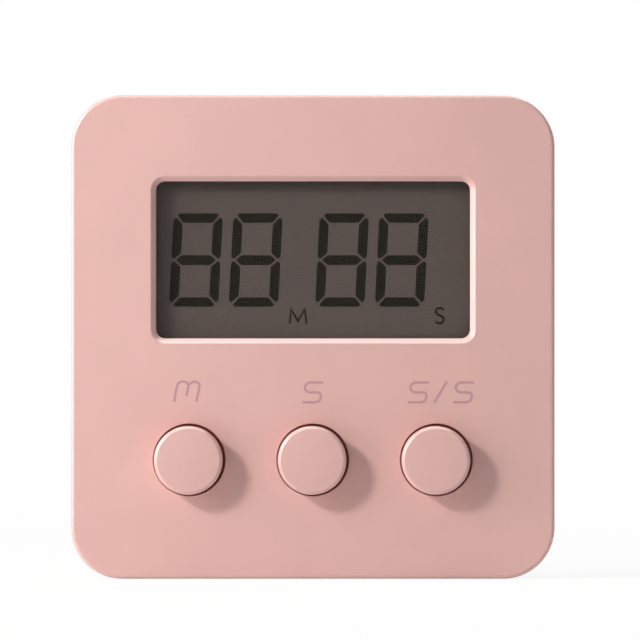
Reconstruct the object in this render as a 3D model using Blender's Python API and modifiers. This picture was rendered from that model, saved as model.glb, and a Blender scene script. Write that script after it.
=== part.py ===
"""Square digital kitchen timer: two moulded shells round a display, a circuit board and one AAA cell.

The timer stands on its bottom edge, its front faces -Y and +X is to its right as seen from the front.
Depths are measured from the front face backwards, heights from the bottom edge upwards.
"""

from math import ceil, cos, pi, radians, sin

import bmesh
import bpy
from mathutils import Vector

# Clearances and construction values
seat_gap = 0.0003
bond_gap = 0.0001
side_gap = 0.0002
thread_gap = 0.00015
overrun = 0.0020
weld_distance = 0.000001
screw_merge = 0.00001
smooth_angle = radians(35)

# Case: its width follows from the battery bay, its height from the stand and the door on its back
case_margin_side = 0.0075
case_margin_top = 0.0120
corner_radius = 0.0069
front_edge_round = 0.00055
side_wall = 0.0020
front_wall = 0.0022
parting_depth = 0.0120
parting_gap = 0.00015
lap_wall = 0.0008
lap_length = 0.0009
rebate_wall = 0.0010

# Display window in the front case
window_width = 0.0420
window_height = 0.0210
window_corner = 0.0012
window_bevel = 0.0008
window_lip = 0.0012
window_above_centre = 0.0103

# Display stack
lens_overlap = 0.0016
lens_thickness = 0.0009
lens_corner = 0.0008
film_overlap = 0.0007
film_thickness = 0.0002
glass_thickness = 0.0011
glass_overlap_side = 0.0020
glass_overlap_top = 0.0023
glass_overlap_bottom = 0.0007
ledge_height = 0.0030
zebra_width = 0.0400
zebra_thickness = 0.0020
zebra_height = 0.0022
zebra_rise = 0.0003
holder_wall = 0.0016
holder_web = 0.0008
holder_web_reach = 0.0023
holder_corner = 0.0010

# Battery bay in the rear cover
cell_radius = 0.00525
cell_length = 0.0445
cell_nub_radius = 0.0019
cell_nub_length = 0.0010
cell_edge_round = 0.0004
cell_dish_radius = 0.0040
cell_dish_depth = 0.0003
bay_floor = 0.0008
bay_wall = 0.0010
bay_side_room = 0.00045
contact_thickness = 0.0004
contact_half = 0.0042
contact_tail_width = 0.0020
contact_tail_length = 0.0023
contact_slot_room = 0.0004
spring_length = 0.0032
spring_wire = 0.0006
spring_base_radius = 0.0027
spring_tip_radius = 0.0018
spring_turns = 2.5
spring_points_per_turn = 12

# Rear cover
rear_wall = 0.0014
rear_edge_round = 0.0015

# Battery door
door_overlap_side = 0.0010
door_overlap_top = 0.0014
door_overlap_bottom = 0.0005
door_corner = 0.0008
door_frame_wall = 0.0012
door_frame_rim = 0.0012
door_bead_radius = 0.0011
door_pin_radius = 0.0005
door_pin_length = 0.0012
door_pin_gap = 0.00025
door_boss_wall = 0.0012
door_boss_half = 0.0019
latch_width = 0.0080
latch_thickness = 0.0008
latch_length = 0.0022
latch_bump_radius = 0.0003
latch_inset = 0.0004
latch_notch_depth = 0.0006
scoop_radius = 0.0060
scoop_depth = 0.0009
scoop_width = 0.0100

# Fold-out stand
stand_width = 0.0290
stand_length = 0.0320
stand_thickness = 0.0017
stand_rise = 0.0045
door_above_stand = 0.0032
stand_set_back = 0.0002
stand_corner = 0.0020
stand_barrel_radius = 0.0013
stand_pin_radius = 0.0008
stand_pin_length = 0.0015
stand_pin_gap = 0.00025
stand_boss_wall = 0.0010
stand_boss_half = 0.0024
recess_floor = 0.0012
recess_rim = 0.0012
notch_radius = 0.0030
sound_hole_radius = 0.0008
sound_ring_radius = 0.0032
sound_ring_holes = 6

# Buzzer
buzzer_above_stand_tip = 0.0155
buzzer_plate_radius = 0.0105
buzzer_plate_thickness = 0.0003
buzzer_ceramic_radius = 0.0070
buzzer_ceramic_thickness = 0.00025
buzzer_ring_wall = 0.0012
buzzer_ring_overlap = 0.0005
buzzer_ring_length = 0.0025

# Magnets
magnet_radius = 0.0050
magnet_thickness = 0.0020
magnet_from_recess = 0.0020
magnet_height = 0.0220
magnet_set_back = 0.0002
magnet_boss_wall = 0.0010
magnet_floor = 0.0012

# Buttons
button_pitch = 0.0166
button_below_centre = 0.0165
cap_radius = 0.0047
cap_proud = 0.0032
cap_gap = 0.0002
cap_edge_round = 0.00045
cap_wall = 0.0010
cap_top = 0.0012
cap_flange_reach = 0.0009
cap_flange_thickness = 0.0009
cap_stem_radius = 0.0015
guide_gap = 0.0003
guide_wall = 0.0008
guide_length = 0.0020

# Silicone domes
dome_height = 0.0018
dome_top_radius = 0.0020
dome_shoulder_drop = 0.0002
dome_shoulder_radius = 0.0023
dome_foot_radius = 0.0046
dome_foot_thickness = 0.0005
dome_web_radius = 0.0034
dome_wall = 0.0003
dome_inner_radius = 0.0032
dome_pill_radius = 0.0012
dome_pill_gap = 0.0007
dome_ceiling = 0.0007

# Circuit board
board_side_clear = 0.0015
board_bottom = 0.0040
board_above_ledge = 0.0015
board_thickness = 0.0012
board_corner = 0.0015
board_screw_inset = 0.0020
board_screw_rise = 0.0022
board_post_below_holder = 0.0007
board_post_radius = 0.0018
board_hole_gap = 0.0002
chip_radius = 0.0040
chip_height = 0.0014
chip_below_board_top = 0.0084
crystal_radius = 0.0010
crystal_length = 0.0060
crystal_from_centre = 0.0120
coil_core_radius = 0.0015
coil_flange_radius = 0.0025
coil_flange_thickness = 0.0006
coil_height = 0.0032
coil_winding_radius = 0.0021
coil_from_centre = 0.0140
coil_below_board_top = 0.0054

# Screws
case_screw_inset = 0.0052
case_screw_radius = 0.0010
case_screw_head_radius = 0.0019
case_screw_head_height = 0.0014
case_screw_length = 0.0100
case_post_radius = 0.0026
case_boss_radius = 0.0029
counterbore_radius = 0.0022
counterbore_depth = 0.0030
board_screw_radius = 0.0007
board_screw_head_radius = 0.0014
board_screw_head_height = 0.0010
board_screw_length = 0.0045
pilot_room = 0.0006
screw_tip_length = 0.0008
screw_head_round = 0.0003
cross_width = 0.0005
cross_length = 0.0020
cross_depth = 0.0006

# Leads: their radius, and the places (x, height, depth) that each runs through between its ends
lead_radius = 0.0005
battery_lead_run = (
    (0.0282, 0.0455, 0.0084),
    (0.0288, 0.0440, 0.0087),
    (0.0289, 0.0400, 0.0092),
    (0.0286, 0.0350, 0.0095),
    (0.0272, 0.0310, 0.0094),
    (0.0250, 0.0288, 0.0090),
)
battery_lead_end = (0.0225, 0.0280)
ceramic_lead_start = (0.0022, 0.0200)
ceramic_lead_run = (
    (0.0022, 0.0201, 0.0113),
    (0.0032, 0.0214, 0.0106),
    (0.0052, 0.0242, 0.0102),
    (0.0068, 0.0268, 0.0094),
)
ceramic_lead_end = (0.0072, 0.0284)
plate_lead_start = (-0.0087, 0.0200)
plate_lead_run = (
    (-0.0087, 0.0201, 0.0114),
    (-0.0089, 0.0216, 0.0104),
    (-0.0086, 0.0245, 0.0096),
)
plate_lead_end = (-0.0080, 0.0272)

# Facets
corner_steps = 6
edge_steps = 2
large_sides = 32
middle_sides = 24
small_sides = 16
tiny_sides = 10
lead_resolution = 2

# Depths that follow from the pieces, front to back
lens_depth = window_lip + bond_gap
film_depth = front_wall + seat_gap
front_glass_depth = film_depth + film_thickness + bond_gap
front_glass_back = front_glass_depth + glass_thickness
rear_glass_depth = front_glass_back + bond_gap
reflector_depth = rear_glass_depth + glass_thickness + bond_gap
reflector_back = reflector_depth + film_thickness
bay_floor_front = reflector_back + seat_gap
bay_floor_back = bay_floor_front + bay_floor
cell_depth = bay_floor_back + seat_gap + cell_radius
rear_inner = cell_depth + cell_radius + seat_gap
case_depth = rear_inner + rear_wall
zebra_front = front_glass_back + seat_gap
board_front = zebra_front + zebra_height + seat_gap
board_back = board_front + board_thickness
face_y = (cap_proud - case_depth) / 2

# Battery bay, door and stand, from the stand's tip upwards
stand_tip = stand_rise
stand_pivot_height = stand_tip + stand_length
door_bottom = stand_pivot_height + door_above_stand
bay_half_height = cell_radius + bay_side_room
bay_bottom = door_bottom + door_overlap_bottom
bay_top = bay_bottom + 2 * bay_half_height
cell_above_base = bay_bottom + bay_half_height
door_top = bay_top + door_overlap_top
bay_length = 2 * (seat_gap + contact_thickness) + spring_length + 3 * seat_gap + cell_length
bay_half = bay_length / 2
contact_inner = bay_half - seat_gap - contact_thickness
cell_right = contact_inner - seat_gap
cell_left = cell_right - cell_length
door_half = bay_half + door_overlap_side
door_axis_depth = case_depth - door_bead_radius
door_axis_height = door_bottom + door_bead_radius
stand_axis_depth = case_depth - stand_set_back - stand_barrel_radius
stand_front = case_depth - stand_set_back - stand_thickness
recess_depth = stand_front - seat_gap
recess_back_of_floor = recess_depth - recess_floor
recess_half = stand_width / 2 + seat_gap
recess_bottom = stand_tip - seat_gap
recess_top = stand_pivot_height + stand_barrel_radius + seat_gap
buzzer_height = stand_tip + buzzer_above_stand_tip
magnet_from_centre = recess_half + magnet_from_recess + side_gap + magnet_radius

# Case, window, buttons and board
case_width = bay_length + 2 * case_margin_side
case_height = door_top + case_margin_top
middle_height = case_height / 2
window_height_centre = middle_height + window_above_centre
window_top = window_height_centre + window_height / 2
window_bottom = window_height_centre - window_height / 2
button_height = middle_height - button_below_centre
glass_half = window_width / 2 + glass_overlap_side
glass_top = window_top + glass_overlap_top
rear_glass_bottom = window_bottom - glass_overlap_bottom
front_glass_bottom = rear_glass_bottom - ledge_height
holder_bottom = front_glass_bottom - seat_gap - holder_wall
board_top = front_glass_bottom + zebra_rise + zebra_thickness + board_above_ledge
board_width = case_width - 2 * (case_screw_inset + case_post_radius + board_side_clear)
board_screw_low = board_bottom + board_screw_rise
board_screw_high = holder_bottom - board_post_below_holder - board_post_radius
chip_place_height = board_top - chip_below_board_top
coil_place_height = board_top - coil_below_board_top

parts = None
guides = None


def y_at(depth):
    """World Y of a depth behind the front face."""
    return face_y + depth


def new_collection(name):
    """A collection linked to the scene."""
    group = bpy.data.collections.new(name)
    bpy.context.scene.collection.children.link(group)
    return group


def clear_scene():
    """Remove every object of the scene."""
    for item in list(bpy.data.objects):
        bpy.data.objects.remove(item, do_unlink=True)


def make_material(name, colour, roughness, metallic=0.0):
    """Principled finish with one colour."""
    finish = bpy.data.materials.new(name)
    finish.use_nodes = True
    shader = finish.node_tree.nodes["Principled BSDF"]
    shader.inputs["Base Color"].default_value = (*colour, 1.0)
    shader.inputs["Roughness"].default_value = roughness
    shader.inputs["Metallic"].default_value = metallic
    finish.diffuse_color = (*colour, 1.0)
    return finish


def object_from_bmesh(name, work):
    """Guide object that holds the finished bmesh."""
    mesh = bpy.data.meshes.new(name)
    work.to_mesh(mesh)
    work.free()
    shape = bpy.data.objects.new(name, mesh)
    guides.objects.link(shape)
    shape.hide_render = True
    shape.display_type = "WIRE"
    return shape


def mesh_from_curve(name, curve):
    """Closed mesh object in the place of a curve object, with the curve's caps welded on."""
    bpy.context.view_layer.update()
    graph = bpy.context.evaluated_depsgraph_get()
    mesh = bpy.data.meshes.new_from_object(curve.evaluated_get(graph))
    work = bmesh.new()
    work.from_mesh(mesh)
    bmesh.ops.remove_doubles(work, verts=work.verts, dist=weld_distance)
    bmesh.ops.recalc_face_normals(work, faces=work.faces)
    shape = object_from_bmesh(name, work)
    shape.matrix_world = curve.matrix_world.copy()
    bpy.data.objects.remove(curve, do_unlink=True)
    bpy.data.meshes.remove(mesh)
    return shape


def rounded_rectangle(width, height, radius, centre=(0.0, 0.0), steps=None):
    """Outline points of a rectangle with round corners, anticlockwise."""
    steps = steps or corner_steps
    points = []
    for quarter in range(4):
        side_x = 1 if quarter in (0, 3) else -1
        side_z = 1 if quarter in (0, 1) else -1
        corner_x = centre[0] + side_x * (width / 2 - radius)
        corner_z = centre[1] + side_z * (height / 2 - radius)
        for step in range(steps + 1):
            angle = (quarter + step / steps) * pi / 2
            points.append((corner_x + radius * cos(angle), corner_z + radius * sin(angle)))
    return points


def outline_solid(name, outline, middle, half, edge, steps):
    """Closed mesh of an outline parallel to the front face, swollen by its edge between the ends."""
    data = bpy.data.curves.new(name, "CURVE")
    data.dimensions = "2D"
    data.fill_mode = "BOTH"
    data.extrude = half
    data.bevel_depth = edge
    data.bevel_resolution = steps
    spline = data.splines.new("POLY")
    spline.points.add(len(outline) - 1)
    for point, (x, z) in zip(spline.points, outline):
        point.co = (x, z, 0.0, 1.0)
    spline.use_cyclic_u = True
    curve = bpy.data.objects.new(name, data)
    guides.objects.link(curve)
    curve.rotation_euler = (pi / 2, 0.0, 0.0)
    curve.location = (0.0, y_at(middle), 0.0)
    return mesh_from_curve(name, curve)


def plate(name, outline, front, back, edge_round=0.0):
    """Flat piece parallel to the front face, from one depth to another.

    A rounded edge swells outwards from the outline, so its outline is given smaller by the rounding.
    """
    half = (back - front) / 2 - edge_round
    return outline_solid(name, outline, (front + back) / 2, half, edge_round, edge_steps)


def box(name, x_span, z_span, depth_span):
    """Plain block between two x values, two heights and two depths."""
    size = Vector((x_span[1] - x_span[0], depth_span[1] - depth_span[0], z_span[1] - z_span[0]))
    middle = Vector((sum(x_span) / 2, y_at(sum(depth_span) / 2), sum(z_span) / 2))
    work = bmesh.new()
    bmesh.ops.create_cube(work, size=1.0)
    bmesh.ops.scale(work, vec=size, verts=work.verts)
    shape = object_from_bmesh(name, work)
    shape.location = middle
    return shape


def cylinder(name, radius, length, sides):
    """Cylinder along its own Z, centred."""
    work = bmesh.new()
    bmesh.ops.create_cone(
        work, cap_ends=True, segments=sides, radius1=radius, radius2=radius, depth=length
    )
    shape = object_from_bmesh(name, work)
    for face in shape.data.polygons:
        face.use_smooth = len(face.vertices) == 4
    return shape


def pin_back(name, radius, place, depth_span, sides):
    """Cylinder square to the front face, at a place (x, height)."""
    shape = cylinder(name, radius, depth_span[1] - depth_span[0], sides)
    shape.rotation_euler = (pi / 2, 0.0, 0.0)
    shape.location = (place[0], y_at(sum(depth_span) / 2), place[1])
    return shape


def pin_across(name, radius, x_span, height, depth, sides):
    """Cylinder that lies along X."""
    shape = cylinder(name, radius, x_span[1] - x_span[0], sides)
    shape.rotation_euler = (0.0, pi / 2, 0.0)
    shape.location = (sum(x_span) / 2, y_at(depth), height)
    return shape


def turned(name, profile, place, sides):
    """Round piece square to the front face, from points (radius, depth) run front to back outside."""
    work = bmesh.new()
    corners = [work.verts.new((radius, 0.0, -depth)) for radius, depth in profile]
    for first, second in zip(corners, corners[1:]):
        work.edges.new((first, second))
    if profile[0][0] > 0:
        work.edges.new((corners[-1], corners[0]))
    shape = object_from_bmesh(name, work)
    screw = shape.modifiers.new("turn", "SCREW")
    screw.steps = sides
    screw.render_steps = sides
    screw.use_merge_vertices = True
    screw.merge_threshold = screw_merge
    screw.use_smooth_shade = True
    shape.rotation_euler = (pi / 2, 0.0, 0.0)
    shape.location = (place[0], y_at(0.0), place[1])
    return shape


def arc(centre, radius, start, end, steps):
    """Points (radius, depth) on an arc, angles in quarter turns from outwards towards the back."""
    points = []
    for step in range(steps + 1):
        angle = (start + (end - start) * step / steps) * pi / 2
        points.append((centre[0] + radius * cos(angle), centre[1] + radius * sin(angle)))
    return points


def combine(shape, operation, tools):
    """Boolean modifiers that cut, add or keep what the tools cover."""
    for tool in tools:
        step = shape.modifiers.new(tool.name, "BOOLEAN")
        step.operation = operation
        step.solver = "EXACT"
        step.object = tool
    return shape


def cut(shape, *tools):
    """Take the tools out of the shape."""
    return combine(shape, "DIFFERENCE", tools)


def add(shape, *tools):
    """Join the tools to the shape."""
    return combine(shape, "UNION", tools)


def finish_part(shape, name, finish):
    """Turn a guide shape into a named part with its material."""
    guides.objects.unlink(shape)
    parts.objects.link(shape)
    shape.name = name
    shape.data.name = name
    shape.hide_render = False
    shape.display_type = "TEXTURED"
    shape.data.materials.clear()
    shape.data.materials.append(finish)
    if not any(step.type == "SCREW" for step in shape.modifiers):
        shape.data.shade_smooth()
        shape.data.set_sharp_from_angle(angle=smooth_angle)
    return shape


def hang_on_axis(shape, name, place):
    """Parent a moving piece to an empty on its joint's axis, with the piece's place unchanged."""
    axis = bpy.data.objects.new(name, None)
    parts.objects.link(axis)
    axis.location = place
    bpy.context.view_layer.update()
    world = shape.matrix_world.copy()
    shape.parent = axis
    shape.matrix_parent_inverse = axis.matrix_world.inverted()
    shape.matrix_world = world
    return axis


def corner_places(inset):
    """Four places (x, height), each the same distance in from two sides of the case."""
    offset = case_width / 2 - inset
    return [
        (side * offset, height)
        for height in (inset, case_height - inset)
        for side in (-1, 1)
    ]


def board_screw_places():
    """Four places (x, height) of the circuit board's screws."""
    offset = board_width / 2 - board_screw_inset
    return [
        (side * offset, height)
        for height in (board_screw_low, board_screw_high)
        for side in (-1, 1)
    ]


def case_outline(inset):
    """Outline of the case, set in from its outer surface."""
    return rounded_rectangle(
        case_width - 2 * inset,
        case_height - 2 * inset,
        corner_radius - inset,
        (0.0, middle_height),
    )


def window_outline(grow=0.0, radius=None):
    """Outline of the display window, grown on every side."""
    return rounded_rectangle(
        window_width + 2 * grow,
        window_height + 2 * grow,
        radius or window_corner,
        (0.0, window_height_centre),
    )


def bevelled_window_cutter():
    """Cutter whose sides lean in from the front face to the window's own outline."""
    return outline_solid("window_bevel_cut", window_outline(), -overrun, overrun, window_bevel, 0)


def make_front_case(finish):
    """Front shell with its window, button holes, button guides and screw posts."""
    shell = plate(
        "front_case",
        case_outline(front_edge_round),
        0.0,
        parting_depth + overrun + front_edge_round,
        front_edge_round,
    )
    behind = box(
        "front_case_trim",
        (-case_width, case_width),
        (-overrun, case_height + overrun),
        (parting_depth, parting_depth + 2 * overrun + 2 * front_edge_round),
    )
    hollow = plate(
        "front_case_hollow", case_outline(side_wall), front_wall, parting_depth + overrun
    )
    rebate = plate(
        "front_case_rebate",
        case_outline(rebate_wall),
        parting_depth - lap_length - side_gap,
        parting_depth + overrun,
    )
    cut(shell, behind, hollow, rebate)
    post_end = parting_depth - lap_length - seat_gap
    root = front_wall - window_lip
    for number, place in enumerate(corner_places(case_screw_inset)):
        post = pin_back(f"case_post_{number}", case_post_radius, place, (root, post_end), middle_sides)
        add(shell, post)
    for number, place in enumerate(board_screw_places()):
        post = pin_back(
            f"board_post_{number}",
            board_post_radius,
            place,
            (root, board_front - seat_gap),
            small_sides,
        )
        add(shell, post)
    guide_bore = cap_radius + cap_flange_reach + guide_gap
    for number in (-1, 0, 1):
        place = (number * button_pitch, button_height)
        guide = pin_back(
            f"guide_{number}",
            guide_bore + guide_wall,
            place,
            (root, front_wall + guide_length),
            middle_sides,
        )
        bore = pin_back(
            f"guide_bore_{number}",
            guide_bore,
            place,
            (front_wall, front_wall + guide_length + overrun),
            middle_sides,
        )
        hole = pin_back(
            f"button_hole_{number}",
            cap_radius + cap_gap,
            place,
            (-overrun, front_wall + overrun),
            middle_sides,
        )
        add(shell, guide)
        cut(shell, bore, hole)
    opening = plate("window_cut", window_outline(), -overrun, front_wall + overrun)
    pocket = plate(
        "lens_pocket",
        window_outline(lens_overlap + side_gap, lens_corner + side_gap),
        window_lip,
        front_wall + overrun,
    )
    cut(shell, opening, bevelled_window_cutter(), pocket)
    screw_end = rear_screw_seat() - case_screw_length
    for number, place in enumerate(corner_places(case_screw_inset)):
        pilot = pin_back(
            f"case_pilot_{number}",
            case_screw_radius + thread_gap,
            place,
            (screw_end - pilot_room, post_end + overrun),
            tiny_sides,
        )
        cut(shell, pilot)
    for number, place in enumerate(board_screw_places()):
        pilot = pin_back(
            f"board_pilot_{number}",
            board_screw_radius + thread_gap,
            place,
            (board_back + seat_gap - board_screw_length - pilot_room, board_front + overrun),
            tiny_sides,
        )
        cut(shell, pilot)
    return finish_part(shell, "front_case", finish)


def rear_screw_seat():
    """Depth of the underside of a case screw's head."""
    return case_depth - counterbore_depth + seat_gap


def make_rear_cover(finish):
    """Rear shell with the battery bay, stand recess, magnet pockets, buzzer ring and screw bosses."""
    start = parting_depth + parting_gap
    shell = plate(
        "rear_cover",
        case_outline(rear_edge_round),
        start - overrun - rear_edge_round,
        case_depth,
        rear_edge_round,
    )
    ahead = box(
        "rear_cover_trim",
        (-case_width, case_width),
        (-overrun, case_height + overrun),
        (start - 2 * overrun - 2 * rear_edge_round, start),
    )
    cut(shell, ahead)
    lip_outside = rebate_wall + side_gap
    lip = plate(
        "lap_lip", case_outline(lip_outside), parting_depth - lap_length, start + overrun
    )
    add(shell, lip)
    hollow = plate(
        "rear_cover_hollow",
        case_outline(lip_outside + lap_wall),
        parting_depth - lap_length - overrun,
        rear_inner,
    )
    cut(shell, hollow)
    wall_root = rear_inner + rear_wall / 2
    bay_outer = box(
        "bay_outer",
        (-bay_half - bay_wall, bay_half + bay_wall),
        (bay_bottom - bay_wall, bay_top + bay_wall),
        (bay_floor_front, wall_root),
    )
    frame_half = door_half + side_gap + door_frame_rim
    frame_low = door_bottom - side_gap - door_frame_rim
    frame_high = door_top + side_gap + door_frame_rim
    frame_front = rear_inner - seat_gap - door_frame_wall
    door_frame = box(
        "door_frame", (-frame_half, frame_half), (frame_low, frame_high), (frame_front, wall_root)
    )
    boss_end = door_half + door_pin_length + side_gap + door_boss_wall
    boss_depth = door_axis_depth - door_pin_radius - door_pin_gap - door_boss_wall
    add(shell, bay_outer, door_frame)
    for side in (-1, 1):
        boss = box(
            f"door_boss_{side}",
            tuple(sorted((side * bay_half, side * boss_end))),
            (door_axis_height - door_boss_half, door_axis_height + door_boss_half),
            (boss_depth, wall_root),
        )
        add(shell, boss)
    recess_block = box(
        "recess_block",
        (-recess_half - recess_rim, recess_half + recess_rim),
        (recess_bottom - recess_rim, recess_top + recess_rim),
        (recess_back_of_floor, wall_root),
    )
    groove_front = stand_axis_depth - stand_barrel_radius - seat_gap - recess_floor
    groove_block = box(
        "groove_block",
        (-recess_half - recess_rim, recess_half + recess_rim),
        (stand_pivot_height - stand_boss_half, recess_top + recess_rim),
        (groove_front, wall_root),
    )
    add(shell, recess_block, groove_block)
    for side in (-1, 1):
        reach = recess_half + stand_pin_length + side_gap + stand_boss_wall
        boss = box(
            f"stand_boss_{side}",
            tuple(sorted((side * (recess_half - recess_rim), side * reach))),
            (stand_pivot_height - stand_boss_half, stand_pivot_height + stand_boss_half),
            (stand_axis_depth - stand_boss_half, wall_root),
        )
        add(shell, boss)
    for side in (-1, 1):
        boss = pin_back(
            f"magnet_boss_{side}",
            magnet_radius + side_gap + magnet_boss_wall,
            (side * magnet_from_centre, magnet_height),
            (magnet_pocket_depth() - magnet_floor, wall_root),
            middle_sides,
        )
        add(shell, boss)
    ring_outer = buzzer_plate_radius - buzzer_ring_overlap + buzzer_ring_wall
    ring = pin_back(
        "buzzer_ring",
        ring_outer,
        (0.0, buzzer_height),
        (recess_back_of_floor - buzzer_ring_length, recess_back_of_floor + recess_floor / 2),
        large_sides,
    )
    ring_bore = pin_back(
        "buzzer_ring_bore",
        ring_outer - buzzer_ring_wall,
        (0.0, buzzer_height),
        (recess_back_of_floor - buzzer_ring_length - overrun, recess_back_of_floor),
        large_sides,
    )
    add(shell, ring)
    cut(shell, ring_bore)
    boss_front = parting_depth - lap_length + side_gap
    for number, place in enumerate(corner_places(case_screw_inset)):
        boss = pin_back(
            f"case_boss_{number}", case_boss_radius, place, (boss_front, wall_root), middle_sides
        )
        add(shell, boss)
    bay_hollow = box(
        "bay_hollow", (-bay_half, bay_half), (bay_bottom, bay_top), (bay_floor_back, case_depth + overrun)
    )
    door_room = box(
        "door_room",
        (-door_half - side_gap, door_half + side_gap),
        (door_axis_height, door_top + side_gap),
        (rear_inner - seat_gap, case_depth + overrun),
    )
    bead_room = pin_across(
        "bead_room",
        door_bead_radius + door_pin_gap,
        (-door_half - side_gap, door_half + side_gap),
        door_axis_height,
        door_axis_depth,
        large_sides,
    )
    bead_slot = box(
        "bead_slot",
        (-door_half - side_gap, door_half + side_gap),
        (door_bottom - side_gap, door_axis_height + overrun / 2),
        (door_axis_depth, case_depth + overrun),
    )
    cut(shell, bay_hollow, door_room, bead_room, bead_slot)
    for side in (-1, 1):
        socket = pin_across(
            f"door_socket_{side}",
            door_pin_radius + door_pin_gap,
            tuple(sorted((side * bay_half, side * (door_half + door_pin_length + side_gap)))),
            door_axis_height,
            door_axis_depth,
            small_sides,
        )
        tail_slot = box(
            f"tail_slot_{side}",
            tuple(sorted((side * (bay_half - overrun / 2), side * (bay_half + bay_wall + overrun)))),
            (
                cell_above_base - contact_tail_width / 2 - contact_slot_room,
                cell_above_base + contact_tail_width / 2 + contact_slot_room,
            ),
            (
                contact_front() - contact_slot_room,
                contact_front() + contact_thickness + contact_slot_room,
            ),
        )
        cut(shell, socket, tail_slot)
    notch = box(
        "latch_notch",
        (-latch_width / 2 - seat_gap, latch_width / 2 + seat_gap),
        (bay_top - overrun / 2, bay_top + latch_notch_depth),
        (rear_inner - latch_length - seat_gap, case_depth),
    )
    scoop = pin_across(
        "finger_scoop",
        scoop_radius,
        (-scoop_width / 2, scoop_width / 2),
        door_top + side_gap,
        case_depth + scoop_radius - scoop_depth,
        large_sides,
    )
    cut(shell, notch, scoop)
    recess = plate(
        "stand_recess",
        rounded_rectangle(
            2 * recess_half,
            recess_top - recess_bottom,
            stand_corner,
            (0.0, (recess_top + recess_bottom) / 2),
            edge_steps,
        ),
        recess_depth,
        case_depth + overrun,
    )
    groove = pin_across(
        "stand_groove",
        stand_barrel_radius + seat_gap,
        (-recess_half, recess_half),
        stand_pivot_height,
        stand_axis_depth,
        large_sides,
    )
    cut(shell, recess, groove)
    for side in (-1, 1):
        socket = pin_across(
            f"stand_socket_{side}",
            stand_pin_radius + stand_pin_gap,
            tuple(sorted((0.0, side * (recess_half + stand_pin_length + side_gap)))),
            stand_pivot_height,
            stand_axis_depth,
            small_sides,
        )
        pocket = pin_back(
            f"magnet_pocket_{side}",
            magnet_radius + side_gap,
            (side * magnet_from_centre, magnet_height),
            (magnet_pocket_depth(), case_depth + overrun),
            middle_sides,
        )
        cut(shell, socket, pocket)
    for number, place in enumerate(sound_hole_places()):
        hole = pin_back(
            f"cover_sound_hole_{number}",
            sound_hole_radius,
            place,
            (recess_back_of_floor - overrun / 2, recess_depth + overrun / 2),
            tiny_sides,
        )
        cut(shell, hole)
    for number, place in enumerate(corner_places(case_screw_inset)):
        bore = pin_back(
            f"case_bore_{number}",
            case_screw_radius + side_gap,
            place,
            (boss_front - overrun, case_depth),
            tiny_sides,
        )
        counterbore = pin_back(
            f"counterbore_{number}",
            counterbore_radius,
            place,
            (case_depth - counterbore_depth, case_depth + overrun),
            small_sides,
        )
        cut(shell, bore, counterbore)
    return finish_part(shell, "rear_cover", finish)


def magnet_pocket_depth():
    """Depth of the floor of a magnet pocket."""
    return case_depth - magnet_set_back - magnet_thickness - seat_gap


def contact_front():
    """Depth of the front edge of a battery contact."""
    return cell_depth - contact_half


def sound_hole_places():
    """Centre and ring of sound holes, as (x, height)."""
    places = [(0.0, buzzer_height)]
    for number in range(sound_ring_holes):
        angle = 2 * pi * number / sound_ring_holes
        places.append(
            (sound_ring_radius * cos(angle), buzzer_height + sound_ring_radius * sin(angle))
        )
    return places


def make_display(finishes):
    """Lens, films, both glasses and the frame that holds them in the front case."""
    lens = plate(
        "display_lens", window_outline(lens_overlap, lens_corner), lens_depth, lens_depth + lens_thickness
    )
    finish_part(lens, "display_lens", finishes["lens"])
    for name, depth in (("front_polariser", film_depth), ("lcd_reflector", reflector_depth)):
        film = plate(name, window_outline(film_overlap), depth, depth + film_thickness)
        finish_part(film, name, finishes[name])
    front_glass = box(
        "lcd_front_glass",
        (-glass_half, glass_half),
        (front_glass_bottom, glass_top),
        (front_glass_depth, front_glass_back),
    )
    finish_part(front_glass, "lcd_front_glass", finishes["glass"])
    rear_glass = box(
        "lcd_rear_glass",
        (-glass_half, glass_half),
        (rear_glass_bottom, glass_top),
        (rear_glass_depth, rear_glass_depth + glass_thickness),
    )
    finish_part(rear_glass, "lcd_rear_glass", finishes["glass"])
    zebra_low = front_glass_bottom + zebra_rise
    zebra = box(
        "zebra_strip",
        (-zebra_width / 2, zebra_width / 2),
        (zebra_low, zebra_low + zebra_thickness),
        (zebra_front, zebra_front + zebra_height),
    )
    finish_part(zebra, "zebra_strip", finishes["rubber_dark"])
    make_display_holder(finishes["holder"])


def make_display_holder(finish):
    """Frame round the glass, open behind the picture and slotted for the zebra strip."""
    web_front = reflector_back + bond_gap
    web_back = web_front + holder_web
    outer_half = glass_half + side_gap + holder_wall
    high = glass_top + side_gap + holder_wall
    frame = plate(
        "lcd_holder",
        rounded_rectangle(
            2 * outer_half,
            high - holder_bottom,
            holder_corner,
            (0.0, (high + holder_bottom) / 2),
            edge_steps,
        ),
        film_depth,
        web_back,
    )
    nest = box(
        "glass_nest",
        (-glass_half - side_gap, glass_half + side_gap),
        (front_glass_bottom - seat_gap, glass_top + side_gap),
        (film_depth - overrun, web_front),
    )
    window = box(
        "holder_window",
        (-glass_half + film_overlap, glass_half - film_overlap),
        (rear_glass_bottom + holder_web_reach, glass_top - holder_web_reach),
        (web_front - overrun / 2, web_back + overrun),
    )
    zebra_low = front_glass_bottom + zebra_rise
    zebra_slot = box(
        "zebra_slot",
        (-zebra_width / 2 - seat_gap, zebra_width / 2 + seat_gap),
        (zebra_low - seat_gap, zebra_low + zebra_thickness + seat_gap),
        (web_front - overrun / 2, web_back + overrun),
    )
    bay_relief = box(
        "bay_relief",
        (-outer_half - overrun, outer_half + overrun),
        (bay_bottom - bay_wall - seat_gap, bay_top + bay_wall + seat_gap),
        (bay_floor_front - seat_gap, web_back + overrun),
    )
    cut(frame, nest, window, zebra_slot, bay_relief)
    finish_part(frame, "lcd_holder", finish)


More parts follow.
